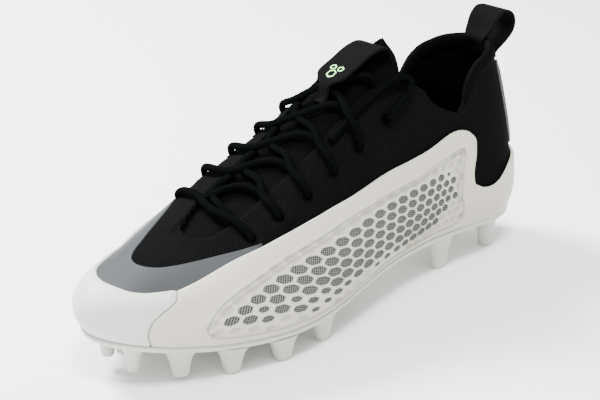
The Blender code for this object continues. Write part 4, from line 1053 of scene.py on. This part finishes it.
def shell_finish(name, colour, shade, hollow_shade=0.0):
    """Moulded plastic: faint clouds and specks, and painted shade in the hollows where asked."""
    made = Finish(name, roughness=0.36, specular_ior_level=0.25)
    cloud = made.noise(22.0, 3.0).band(0.35, 0.75)
    speck = made.noise(420.0, 5.0).band(0.68, 0.8)
    tone = made.mix(speck * 0.3 + cloud * 0.12, colour, shade)
    # Painted shade: where asked, the tone goes darker where the mesh marks a hollow.
    if hollow_shade:
        tone = made.mix(made.share("hollow_shade") * hollow_shade, tone, tuple(0.45 * c for c in shade))
    made.put(base_color=tone)
    made.put(roughness=0.42 + 0.1 * made.noise(60.0, 4.0))
    made.put(normal=made.bump(made.noise(1500.0, 2.0), 0.00002, 0.35))
    return made


# The off-white shell takes painted shade in its hollows, at a weight of 0.6.
shell_white = shell_finish("shell off-white", (0.49, 0.475, 0.4), (0.38, 0.365, 0.305), 0.6)
toe_white = shell_finish("toe white", (0.54, 0.54, 0.53), (0.43, 0.425, 0.41))
lateral_seam, medial_seam = seam_pair(SEAM_GAP / 2)
cage_foot = foot_run(lateral_seam[-1, 0], medial_seam[0, 0] - 1)
cage_ring = np.vstack([lateral_seam, cage_foot, medial_seam, edge_curve(SHELL_TOP)[::-1]])
cage_holes = [hexagon(*place) for place in open_cells + medial_cells]
BEAD_RINGS = (0.0003, 0.0006, 0.0011, 0.0018, 0.0025, 0.003, 0.0035, 0.0044)
bead_points = np.vstack([window_ring, border_rings(window_ring, BEAD_RINGS)])
blind_points = np.vstack([
    hexagon(u, h, shape, size * share, sides)
    for u, h, shape, size in blind_cells
    for share, sides in ((0.02, 1), (0.35, 6), (0.62, 14), (0.8, 14), (0.98, 16))
])
# The cage's shares paint shade into its grooves, blind cells and the rims of its holes.
wall_piece(
    "honeycomb_cage", [cage_ring] + cage_holes, cage_lift, GAP, shell_white, "shell_white", 0.0024,
    depths=(0.00018, 0.00048, 0.00095), radius=RIB_ROUND, extra=np.vstack([bead_points, blind_points]),
    replaces=("cage",), shares={"hollow_shade": cage_hollow_shade},
)
lateral_seam, medial_seam = seam_pair(-SEAM_GAP / 2)
toe_foot = foot_run(lateral_seam[-1, 0], medial_seam[0, 0])
toe_ring = np.vstack([lateral_seam, toe_foot, medial_seam, edge_curve(TOE_TOP)[::-1]])
wall_piece(
    "toe_bumper", [toe_ring], GAP + SHELL_WALL, GAP, toe_white, "toe_white", depths=(0.0002, 0.0006),
    radius=0.0007, replaces=("toe_cap",),
)

# Seam shade. A bead of the same plastic in a darker tone, painted shade, that shows at the bottom of the two
# seams.
seam_shade = shell_finish("seam shade strip", (0.36, 0.34, 0.29), (0.28, 0.26, 0.22))
half = 0.0022 / PERIMETER
for name, table in (("lateral_seam_shade_strip", SEAM_LATERAL), ("medial_seam_shade_strip", SEAM_MEDIAL)):
    run = edge_curve(table)
    run[:, 1] = np.maximum(run[:, 1], SHELL_FOOT)
    ring = np.vstack([run + (half, 0), run[::-1] - (half, 0)])
    wall_piece(name, [ring], 0.0012, 0.0002, seam_shade, "shell_white")

# Net. A woven sheet of pale threads between the knit and the shell, seen through the holes.
net = Finish("woven net", roughness=0.7, specular_ior_level=0.1)
along, up = net.weave()
slant = (along + 0.45 * up) / 1.5
other = (along * 0.35 - up) / 1.25
one_way = slant.one("FRACT").one("PINGPONG", 0.5).band(0.2, 0.34)
other_way = other.one("FRACT").one("PINGPONG", 0.5).band(0.26, 0.4)
threads = one_way.one("MAXIMUM", other_way * 0.7)
net.put(base_color=net.mix(threads, (0.004, 0.004, 0.004), (0.17, 0.18, 0.165)))
net.put(normal=net.bump(threads, 0.0003, 0.8))
MEDIAL_NET = (
    (0.785, 1.3), (0.785, 2.25), (0.72, 2.25), (0.655, 2.15), (0.645, 1.7), (0.65, 1.25), (0.72, 1.2),
)
medial_ring = edge_curve(wall_shares(MEDIAL_NET), closed=True)
for name, ring in (("window_net", window_ring), ("medial_net", medial_ring)):
    wall_piece(name, [ring], 0.0006, 0.0001, net, "black_knit")


# Toe film. A thin blue-grey skin fused over the toe, run in under the shell's top edge.
FILM_WALL = 0.0006
FILM_TOP = (
    (0.346, 0.55), (0.36, 0.572), (0.378, 0.615), (0.396, 0.66), (0.415, 0.705), (0.437, 0.755),
    (0.458, 0.805), (0.485, 0.85), (0.51, 0.868), (0.537, 0.868), (0.565, 0.85), (0.592, 0.813),
    (0.618, 0.757), (0.635, 0.722), (0.65, 0.66), (0.66, 0.58), (0.664, 0.52),
)
FILM_UNDER = 0.0035
film = Finish("film grey", roughness=0.5, specular_ior_level=0.12)
film_cloud = film.noise(35.0, 3.0).band(0.3, 0.7)
film.put(base_color=film.mix(film_cloud, (0.03, 0.0335, 0.036), (0.036, 0.0395, 0.042)))
film.put(normal=film.bump(film.noise(1100.0, 2.0), 0.00003, 0.4))
film_top = edge_curve(FILM_TOP)
film_low = edge_curve(SHELL_TOP[2::-1] + TOE_TOP + tuple((u % 1, v) for u, v in SHELL_TOP[:-4:-1]))[::-1]
film_low = film_low[(film_low[:, 0] > film_top[0, 0] + 0.004) & (film_low[:, 0] < film_top[-1, 0] - 0.004)]
film_ring = np.vstack([film_top, film_low - (0, FILM_UNDER)])
wall_piece(
    "toe_skin", [film_ring], 0.0001 + FILM_WALL, 0.0, film, "film_grey", depths=(0.0003,), radius=0.0004,
    replaces=("toe_film",),
)


# Tongue. A padded strip under both flaps and across the throat, sunk at its top under its tab.
TONGUE_EDGE = (
    (0.392, 0.96), (0.396, 0.85), (0.389, 0.74), (0.375, 0.66), (0.35, 0.6), (0.315, 0.6), (0.27, 0.62),
    (0.23, 0.64), (0.196, 0.67), (0.174, 0.74), (0.17, 0.83), (0.174, 0.93), (-0.177, 0.985),
    (-0.178, 0.88), (-0.181, 0.76), (-0.201, 0.7), (-0.235, 0.69), (-0.28, 0.71), (-0.32, 0.75),
    (-0.355, 0.8), (-0.378, 0.86), (-0.384, 0.94),
)
TONGUE_THICK, TONGUE_DROP = 0.0032, 0.0045


def tongue_lift(u, h, away):
    """The tongue's face, dropped most in the middle of its top end."""
    x, y, _ = point(u, h).T
    back = smooth((y - 0.06 * LENGTH) / (0.085 * LENGTH))
    middle = smooth(1.6 - np.abs(x) / (0.3 * HALF_BALL))
    return -(UPPER_WALL + GAP) - TONGUE_DROP * back * middle


cloth = Finish("smooth black cloth", roughness=0.75, specular_ior_level=0.01)
along, up = cloth.weave()
ribs = (along * 8.0).one("SINE") + (up * 9.0).one("SINE")
cloth.put(base_color=cloth.mix(cloth.noise(90.0, 3.0), (0.0014, 0.0014, 0.0015), (0.0026, 0.0026, 0.0028)))
cloth.put(normal=cloth.bump(ribs, 0.00006, 0.6))
wall_piece(
    "padded_tongue", [edge_curve(TONGUE_EDGE, closed=True)], tongue_lift,
    lambda u, h, away: tongue_lift(u, h, away) - TONGUE_THICK, cloth, "black_smooth", 0.0034,
    depths=(0.0005, 0.0013), radius=0.0013, replaces=("tongue",),
)


# Collar. A padded lining inside the heel, and a smooth rolled band over the edge of the knit.
COLLAR_FRONT, COLLAR_INNER = 0.124, -0.0009
# The roll's cross-section: down from the edge, lift
COLLAR_ROLL = (
    (0.0062, 0.0002), (0.0054, 0.0008), (0.0036, 0.0011), (0.0012, 0.0011), (-0.0008, 0.0004),
    (-0.0018, -0.0008), (-0.0018, -0.0022), (-0.0008, -0.0034), (0.0014, -0.0042), (0.0045, -0.0044),
    (0.0075, -0.0036), (0.0092, -0.0022), (0.008, -0.0012), (0.004, -0.0008),
)


def edge_ways(run):
    """The change of (u, h) per metre square to an open run on the skin, towards the foot."""
    shift = square_to(run, np.gradient(run, axis=0))
    return -shift * np.sign(shift[len(run) // 2, 1])


def opened(run):
    """A run of (u, h) with u carried on under 0 instead of jumping to 1."""
    u = run[:, 0].copy()
    u[u > 0.5] -= 1
    return np.column_stack([u, run[:, 1]])


collar_run = opened(edge_curve([row for row in THROAT_EDGE if abs(row[0]) < COLLAR_FRONT], step=0.0014))
collar_ways = edge_ways(collar_run)
collar_walk = walk_of(point(*collar_run.T))
collar_end = smooth(np.minimum(collar_walk, collar_walk[-1] - collar_walk) / 0.016)
roll_rings = []
for down, lift in COLLAR_ROLL:
    place = collar_run + collar_ways * (down * (0.25 + 0.75 * collar_end))[:, None]
    roll_rings.append(skin(*place.T, COLLAR_INNER + (lift - COLLAR_INNER) * (0.35 + 0.65 * collar_end)))
roll_rings = np.stack(roll_rings, 1)
roll_mesh = outward(*[[part] for part in lofted(roll_rings)])
piece("collar_roll", *roll_mesh, cloth, "black_smooth")

LINING_PAD = 0.0022
LINING_EDGE = tuple((u, v - 0.012) for u, v in THROAT_EDGE if abs(u) < 0.19) + (
    (-0.18, 0.6), (-0.16, 0.45), (-0.13, 0.36), (-0.09, 0.32), (-0.04, 0.3), (0.0, 0.3), (0.04, 0.3),
    (0.09, 0.32), (0.13, 0.36), (0.16, 0.45), (0.178, 0.6),
)


def lining_lift(u, h, away):
    """The lining's face swells away from its edges, but not behind the pull loop."""
    side = np.minimum(u % 1, 1 - u % 1)
    pad = LINING_PAD * smooth(away / 0.012) * smooth((side - 0.012) / 0.03)
    return -(UPPER_WALL + 0.0006) - pad


wall_piece(
    "collar_lining", [edge_curve(LINING_EDGE, closed=True)], -(UPPER_WALL + 0.0001),
    lambda u, h, away: np.minimum(lining_lift(u, h, away), -(UPPER_WALL + 0.0004)), cloth, "black_smooth",
    0.0034, depths=(0.0006,),
)


# Heel patch. A ribbed black panel up the back of the heel, with a rounded edge bead at each side, grey as a
# painted highlight, and a green bar.
PATCH_WALL = 0.0009
PATCH_EDGE = (
    (0.03, 0.235), (0.0, 0.24), (-0.03, 0.235), (-0.034, 0.3), (-0.037, 0.4), (-0.035, 0.48), (-0.02, 0.5),
    (0.0, 0.502), (0.02, 0.5), (0.035, 0.48), (0.037, 0.4), (0.034, 0.3),
)
PIPING_RUN = ((0.0345, 0.235), (0.0365, 0.3), (0.0392, 0.4), (0.0375, 0.48), (0.033, 0.52))
GREEN_BAR = ((0.0055, 0.3), (0.0055, 0.4), (-0.0055, 0.4), (-0.0055, 0.3))
patch = Finish("ribbed black", roughness=0.5, specular_ior_level=0.08)
along, up = patch.weave()
patch_rib = (along * (2 * math.pi / 2.4)).one("SINE")
patch.put(base_color=patch.mix(patch_rib.band(-0.6, 0.4), (0.0016, 0.0016, 0.0018), (0.005, 0.0052, 0.0052)))
patch.put(normal=patch.bump(patch_rib, 0.0005, 0.9))
wall_piece(
    "ribbed_heel_patch", [edge_curve(PATCH_EDGE, closed=True)], GAP + PATCH_WALL, 0.0001, patch,
    "black_smooth", depths=(0.0003, 0.0007), radius=0.0006, replaces=("heel_patch",),
)


def tube(path, radius, sides=12, flat=1.0):
    """Rings of a round bar along a path, turned as little as possible from one to the next."""
    path = np.asarray(path)
    ways = unit(np.gradient(path, axis=0))
    side = np.cross(ways[0], (0, 0, 1))
    a = 2 * np.pi * np.arange(sides) / sides
    rings = []
    for place, way in zip(path, ways):
        side = side - way * (side @ way)
        side /= np.linalg.norm(side)
        other = flat * np.outer(np.sin(a), np.cross(way, side))
        rings.append(place + radius * (np.outer(np.cos(a), side) + other))
    return np.array(rings)


# Painted highlight: the beads at the patch's sides are grey for the light that the patch's edge reflects.
piping_highlight = Finish("painted piping highlight", base_color=(0.06, 0.062, 0.065, 1), roughness=0.5)
for name, turn in (("lateral_piping_highlight", 1), ("medial_piping_highlight", -1)):
    run = opened(edge_curve([(turn * u, v) for u, v in PIPING_RUN], step=0.0015))
    verts, faces = lofted(tube(skin(*run.T, 0.0006), 0.0007, 10))
    piece(name, *outward([verts], [faces]), piping_highlight, "black_smooth")

pale_green = Finish("pale green print", base_color=(0.42, 0.86, 0.3, 1), roughness=0.45)
green_rows = np.array(GREEN_BAR)
green_ring = []
for start, end in zip(green_rows, np.roll(green_rows, -1, axis=0)):
    green_ring += [start + (end - start) * t for t in np.linspace(0, 1, 6, endpoint=False)]
green_ring = np.array([(u, v * full(u)[0]) for u, v in green_ring])
green_ring[:, 0] %= 1
wall_piece(
    "green_heel_bar", [green_ring], GAP + PATCH_WALL + 0.0003, GAP, pale_green, "black_smooth",
)


# Insole. A thin black textile sock liner on the plate, inside the foot of the upper.
# Its side as steps in from the upper's inner skin and up
INSOLE_SIDE = ((0.0008, 0.0), (0.0, 0.0006), (0.0, 0.0024), (0.0008, 0.003))
insole_cloth = Finish("insole cloth", roughness=0.85, specular_ior_level=0.06)
nap = insole_cloth.noise(500.0)
insole_cloth.put(base_color=insole_cloth.mix(nap, (0.0026, 0.0026, 0.0028), (0.005, 0.005, 0.0053)))
insole_cloth.put(normal=insole_cloth.bump(insole_cloth.noise(1800.0), 0.0002, 0.5))
insole_steps = [(-(UPPER_WALL + GAP + within), up) for within, up in INSOLE_SIDE]
insole = plan_slab(insole_steps, lambda x, y: bed(x, y) + SEAT_GAP)
piece("sock_liner", *outward(*insole), insole_cloth, "insole_black", sharp=60, replaces=("insole",))


# Eyelet rims. Twelve soft moulded rings, heat-set round the eyelets.
EYELET_RIM, EYELET_TUBE = 0.0031, 0.00045
rim_black = Finish("eyelet rim", roughness=0.6, specular_ior_level=0.02)
rim_black.put(base_color=(0.0012, 0.0012, 0.0013, 1))
rim_verts, rim_faces = [], []
for u, h in EYELET_SPOTS:
    rings = []
    for turn in np.linspace(0, 2 * np.pi, 8, endpoint=False):
        wide = 1 + EYELET_TUBE * math.cos(turn) / EYELET_RIM
        here = oval(u, h, EYELET_RIM * wide, 24)
        rings.append(skin(*here.T, 0.0001 + EYELET_TUBE * math.sin(turn)))
    verts, faces = lofted(rings + rings[:1], (False, False))
    rim_verts.append(verts)
    rim_faces.append(faces)
piece("eyelet_rims", *outward(rim_verts, rim_faces), rim_black, "black_smooth")


# Laces. One braided black lace, nearly round: a bar over the bottom of the throat, then five crossings.
LACE_WIDTH, LACE_STEP, LACE_SIDES, LACE_FLAT, LACE_SWELL = 0.0034, 0.0014, 14, 0.88, 1.24
LACE_BAR = (
    (0.351, 0.611, -0.9), (0.351, 0.614, 0.3), (0.352, 0.68, 0.85), (0.354, 0.77, 0.9), (0.357, 0.9, 0.8),
    (-0.353, 0.96, 0.8), (-0.351, 0.86, 0.8), (-0.35, 0.76, 0.85), (-0.35, 0.694, 0.3), (-0.35, 0.69, -0.9),
)
OVER_LIFT, HIGH_LIFT, CROSS_LIFT, END_LIFT, EDGE_SHORT = 0.8, 1.7, 0.1, 0.05, 0.02
PAST_EDGE, PAST_UP, PAST_LIFT = 0.25, 0.28, 0.52
LACE_END = (
    (0.201, 0.666, 0.7), (0.193, 0.69, 1.2), (0.184, 0.7, 1.3), (0.175, 0.705, 1.25), (0.172, 0.735, 1.3),
    (0.18, 0.775, 1.3), (0.195, 0.795, 1.0), (0.214, 0.795, 0.68), (0.236, 0.785, 0.62),
    (0.256, 0.77, 0.62),
)


def walked(knots, step):
    """Points about `step` apart on the natural spline through the knots."""
    knots = np.asarray(knots)
    chords = walk_of(knots)
    return spline(np.linspace(0, chords[-1], max(5, round(chords[-1] / step))), chords, knots)


def flap_edge(u):
    """Height of the flap's edge at u, as a share of the wall, read from THROAT_EDGE."""
    rows = np.array(THROAT_EDGE)
    rows = rows[(rows[:, 0] > 0) == (u > 0)]
    rows = rows[np.abs(rows[:, 0]) > 0.17]
    order = np.argsort(rows[:, 0])
    return float(np.interp(u, rows[order, 0], rows[order, 1]))


def lace_point(u, up, lift):
    """One point of a lace: round, up as a share of the wall, lift in lace widths."""
    return skin([u], [up * full([u])[0]], [lift * LACE_WIDTH])[0]


def lace_path(table):
    """The whole course of a lace through rows of round, up and lift."""
    u, up, lift = np.array(table).T
    return walked(skin(u, up * full(u), lift * LACE_WIDTH), LACE_STEP)


def under_flap(u, deep=END_LIFT):
    """Where a strand goes under the flap's edge at u, short of it and at the height of its wall."""
    return lace_point(u, flap_edge(u) + EDGE_SHORT * (2.2 if u > 0 else 1.7), deep)


def strand(start, end, lift=OVER_LIFT, tucked=False):
    """A lace from the eyelet `start`, over its own flap or from under it, to under the flap of `end`."""
    (ua, va), (ub, vb) = EYELETS[start], EYELETS[end]
    side_a, side_b = (1 if u > 0 else -1 for u in (ua, ub))
    first = [lace_point(ua, va, -1.0), lace_point(ua, va + 0.004, 0.1), lace_point(ua, va + 0.016, 0.66)]
    first += [lace_point(ua, flap_edge(ua), lift)]
    past = ua + side_a * PAST_EDGE * (abs(ub) - abs(ua))
    quarter = lace_point(past, flap_edge(ua) + PAST_EDGE * PAST_UP, PAST_LIFT)
    crown = lace_point(side_b * 0.5 * (abs(ua) + abs(ub)), 0.97, CROSS_LIFT)
    last = [under_flap(ub), lace_point(ub, flap_edge(ub) - 0.05, -1.15), lace_point(ub, vb, -1.3)]
    if tucked:
        first = [lace_point(ua, va, -1.3), lace_point(ua, flap_edge(ua) - 0.05, -1.15), under_flap(ua)]
    return walked(first + ([] if tucked else [quarter]) + [crown] + last, LACE_STEP)


def braided(name, paths, finish, slot, replaces=()):
    """Round bars along the paths as one mesh, with a map of millimetres along and a share round."""
    verts, faces, map_rows, start = [], [], [], 0
    for path in paths:
        rings = tube(path, LACE_SWELL * LACE_WIDTH / 2, LACE_SIDES, LACE_FLAT)
        walk = 1000 * walk_of(path)
        points, quads = lofted(rings)
        for quad in quads:
            faces.append(tuple(i + start for i in quad))
            if len(quad) == 4:
                r, i = divmod(quad[0], LACE_SIDES)
                map_rows += [(walk[r], i), (walk[r], i + 1), (walk[r + 1], i + 1), (walk[r + 1], i)]
            else:
                map_rows += [(walk[i // LACE_SIDES], i % LACE_SIDES) for i in quad]
        verts.append(points)
        start += len(points)
    made = piece(name, np.vstack(verts), faces, finish, slot, sharp=70, replaces=replaces)
    layer = made.data.uv_layers.new(name="weave")
    layer.data.foreach_set("uv", (np.array(map_rows) * (1, 1 / LACE_SIDES)).astype(np.float32).ravel())
    return made


lace_black = Finish("braided black lace", roughness=0.8, specular_ior_level=0.0)
along, round_share = lace_black.weave()
plait_one = (along / 1.5 + round_share * 4).one("FRACT").one("PINGPONG", 0.5)
plait_two = (along / 1.5 - round_share * 4).one("FRACT").one("PINGPONG", 0.5)
plait = (plait_one + plait_two).band(0.15, 0.85)
lace_black.put(base_color=lace_black.mix(plait, (0.0012, 0.0016, 0.0015), (0.0028, 0.0034, 0.0032)))
lace_black.put(normal=lace_black.bump(plait, 0.00018, 0.6))
bar = lace_path(LACE_BAR)
crossings = []
for k in range(5):
    crossings.append(strand(k, k + 7, HIGH_LIFT if k == 4 else OVER_LIFT, k == 0))
    crossings.append(strand(k + 6, k + 1, OVER_LIFT, k == 0))
braided("lace_strands", [bar] + crossings, lace_black, "lace_black",
        replaces=("lace_bar", "lace_cross_1", "lace_cross_2", "lace_cross_3", "lace_cross_4", "lace_cross_5"))
end_path = lace_path(LACE_END)
free_end = braided("lace_free_end", [end_path], lace_black, "lace_black", replaces=("lace_end",))


# Heel loop. A webbing strap sewn up the back of the heel, out over the collar and down inside it.
STRAP_WIDTH, STRAP_THICK, LOOP_REACH = 0.02, 0.0018, 0.0195
# Up (share of the wall), lift (share of LOOP_REACH), wrap (1 follows the round of the heel, 0 is flat)
HEEL_LOOP = (
    (0.512, 0.095, 1.0), (0.524, 0.105, 1.0), (0.536, 0.21, 0.7), (0.547, 0.46, 0.3), (0.559, 0.76, 0.1),
    (0.576, 0.95, 0.0), (0.602, 1.0, 0.0), (0.626, 0.9, 0.0), (0.64, 0.68, 0.1), (0.64, 0.48, 0.2),
    (0.625, 0.25, 0.4), (0.603, 0.04, 0.6), (0.583, -0.185, 0.9), (0.56, -0.195, 1.0), (0.535, -0.195, 1.0),
)
STRAP_COLUMNS = np.sin(np.linspace(-0.5, 0.5, 15) * np.pi) / 2


def strap(name, middle, edge, thick, finish, slot, replaces=()):
    """A flat strap over a grid of points, edge[k] the row k across it, with rounded sides."""
    across = edge[:, -1] - edge[:, 0]
    out = unit(np.cross(across, np.gradient(middle, axis=0)))
    share = np.abs(STRAP_COLUMNS) * 2
    width = np.linalg.norm(across, axis=1)[:, None]
    round_share = np.sqrt(np.clip(1 - np.clip((share - 1) * width / thick + 1, 0, 0.98) ** 2, 0, 1))
    half = out[:, None, :] * (thick / 2 * round_share)[..., None]
    n, k = edge.shape[:2]
    r, i = np.meshgrid(np.arange(n - 1), np.arange(k - 1), indexing="ij")
    a = (r * k + i).ravel()
    faces = np.vstack([np.column_stack([a, a + 1, a + k]), np.column_stack([a + 1, a + k + 1, a + k])])
    walk = 1000 * walk_of(middle)
    weave = np.stack([np.broadcast_to(walk[:, None], (n, k)), 1000 * STRAP_COLUMNS * width], 2).reshape(-1, 2)
    verts, faces = closed_wall((edge + half).reshape(-1, 3), (edge - half).reshape(-1, 3), faces)
    return piece(name, verts, faces, finish, slot, np.tile(weave, (2, 1)), sharp=60, replaces=replaces)


webbing = Finish("black webbing", roughness=0.7, specular_ior_level=0.02)
along, across = webbing.weave()
cords = (across * (2 * math.pi / 0.9)).one("SINE") + 0.5 * (along * (2 * math.pi / 0.7)).one("SINE")
webbing.put(base_color=webbing.mix(cords.band(-1.0, 1.0), (0.0012, 0.0012, 0.0014), (0.0032, 0.0033, 0.0034)))
webbing.put(normal=webbing.bump(cords, 0.0001, 0.8))
loop_rows = np.array(HEEL_LOOP)
loop_marks = np.linspace(0, len(loop_rows) - 1, 70)
loop_up, loop_lift, loop_wrap = spline(loop_marks, np.arange(len(loop_rows)), loop_rows).T
loop_h, loop_lift = loop_up * full([0.0])[0], loop_lift * LOOP_REACH
loop_middle = skin(0 * loop_h, loop_h, loop_lift)
heel_scale = np.linalg.norm(point([1e-3], [loop_h[0]]) - point([-1e-3], [loop_h[0]])) / 2e-3
loop_edge = []
for x in STRAP_COLUMNS * STRAP_WIDTH:
    flat = loop_middle + (x, 0, 0)
    wrapped = skin(0 * loop_h + x / heel_scale, loop_h, loop_lift)
    loop_edge.append(flat + loop_wrap[:, None] * (wrapped - flat))
loop_edge = np.stack(loop_edge, 1)
strap("heel_pull_loop", loop_middle, loop_edge, STRAP_THICK, webbing, "black_smooth", ("heel_loop",))


# Tongue tab. A loop of the same webbing over the top of the tongue; the last crossing runs through it.
TAB_WIDTH, TAB_RISE, TAB_MIDDLE = 0.021, 0.006, -0.0008
# Along, lift over the crown line (share of TAB_RISE), width (share of TAB_WIDTH)
TONGUE_TAB = (
    (0.511, -0.2, 0.35), (0.517, -0.2, 0.35), (0.521, 0.02, 0.38), (0.5235, 0.5, 0.36), (0.527, 0.88, 0.46),
    (0.536, 1.0, 0.85), (0.549, 0.88, 1.0), (0.576, 0.53, 1.0), (0.601, 0.28, 1.0), (0.621, -0.07, 1.0),
    (0.645, -0.87, 1.0), (0.659, -1.92, 1.0), (0.661, -2.5, 1.0),
)
# Print on the tab: three hexagon rings, each at (along, across) in metres, with its radius
TAB_PRINT = ((0.0, 0.0, 0.003), (0.0047, 0.0027, 0.0021), (0.0047, -0.0027, 0.0021))
PRINT_AT, PRINT_LINE, PRINT_LOW, PRINT_HIGH = 0.0175, 0.0007, 0.0006, 0.00105
tab_rows = np.array(TONGUE_TAB)
tab_y = TOE_Y + tab_rows[:, 0] * FORM_LENGTH
tab_z = spline(tab_y, CROWN_ROWS[:, 0], CROWN_ROWS[:, 2]) + tab_rows[:, 1] * TAB_RISE
tab_chords = np.concatenate([[0], np.cumsum(np.hypot(np.diff(tab_y), np.diff(tab_z)))])
tab_knots = np.column_stack([tab_y, tab_z, tab_rows[:, 2] * TAB_WIDTH])


def tab_place(along, across=0.0, lift=0.0):
    """A point of the tab: metres along it, metres across it, and lift over its middle sheet."""
    y, z, _ = spline(along, tab_chords, tab_knots).T
    dy, dz, _ = spline(along, tab_chords, tab_knots, slope=True).T
    size = np.hypot(dy, dz)
    return np.stack([TAB_MIDDLE + across + 0 * y, y - lift * dz / size, z + lift * dy / size], -1)


tab_marks = np.linspace(0, tab_chords[-1], 60)
tab_middle = tab_place(tab_marks)
tab_widths = spline(tab_marks, tab_chords, tab_knots)[:, 2]
tab_edge = np.stack([tab_middle + np.outer(side * tab_widths, (1, 0, 0)) for side in STRAP_COLUMNS], 1)
strap("tongue_pull_tab", tab_middle, tab_edge, STRAP_THICK, webbing, "black_smooth", ("tongue_tab",))
print_verts, print_faces = [], []
for ahead, aside, radius in TAB_PRINT:
    a = np.arange(6) * math.pi / 3
    rings = [
        tab_place(PRINT_AT + ahead + reach * np.cos(a), aside + reach * np.sin(a), lift)
        for reach, lift in (
            (radius, PRINT_LOW), (radius, PRINT_HIGH), (radius - PRINT_LINE, PRINT_HIGH),
            (radius - PRINT_LINE, PRINT_LOW), (radius, PRINT_LOW),
        )
    ]
    verts, faces = lofted(rings, (False, False))
    print_verts.append(verts)
    print_faces.append(faces)
piece("tab_hexagon_print", *outward(print_verts, print_faces), pale_green, "black_smooth", sharp=30)


# Floor. A pale sweep under the studs.
floor_mesh = bpy.data.meshes.new("floor")
floor_mesh.from_pydata([(x, y, 0.0) for x, y in ((-1, -1), (1, -1), (1, 1), (-1, 1))], [], [(0, 1, 2, 3)])
floor_mesh.transform(((FLOOR_HALF, 0, 0, 0), (0, FLOOR_HALF, 0, 0), (0, 0, 1, 0), (0, 0, 0, 1)))
floor_white = Finish("floor white", base_color=(0.9, 0.9, 0.9, 1), roughness=0.7)
floor_mesh.materials.append(floor_white.material)
floor = bpy.data.objects.new("floor", floor_mesh)
bpy.context.scene.collection.objects.link(floor)
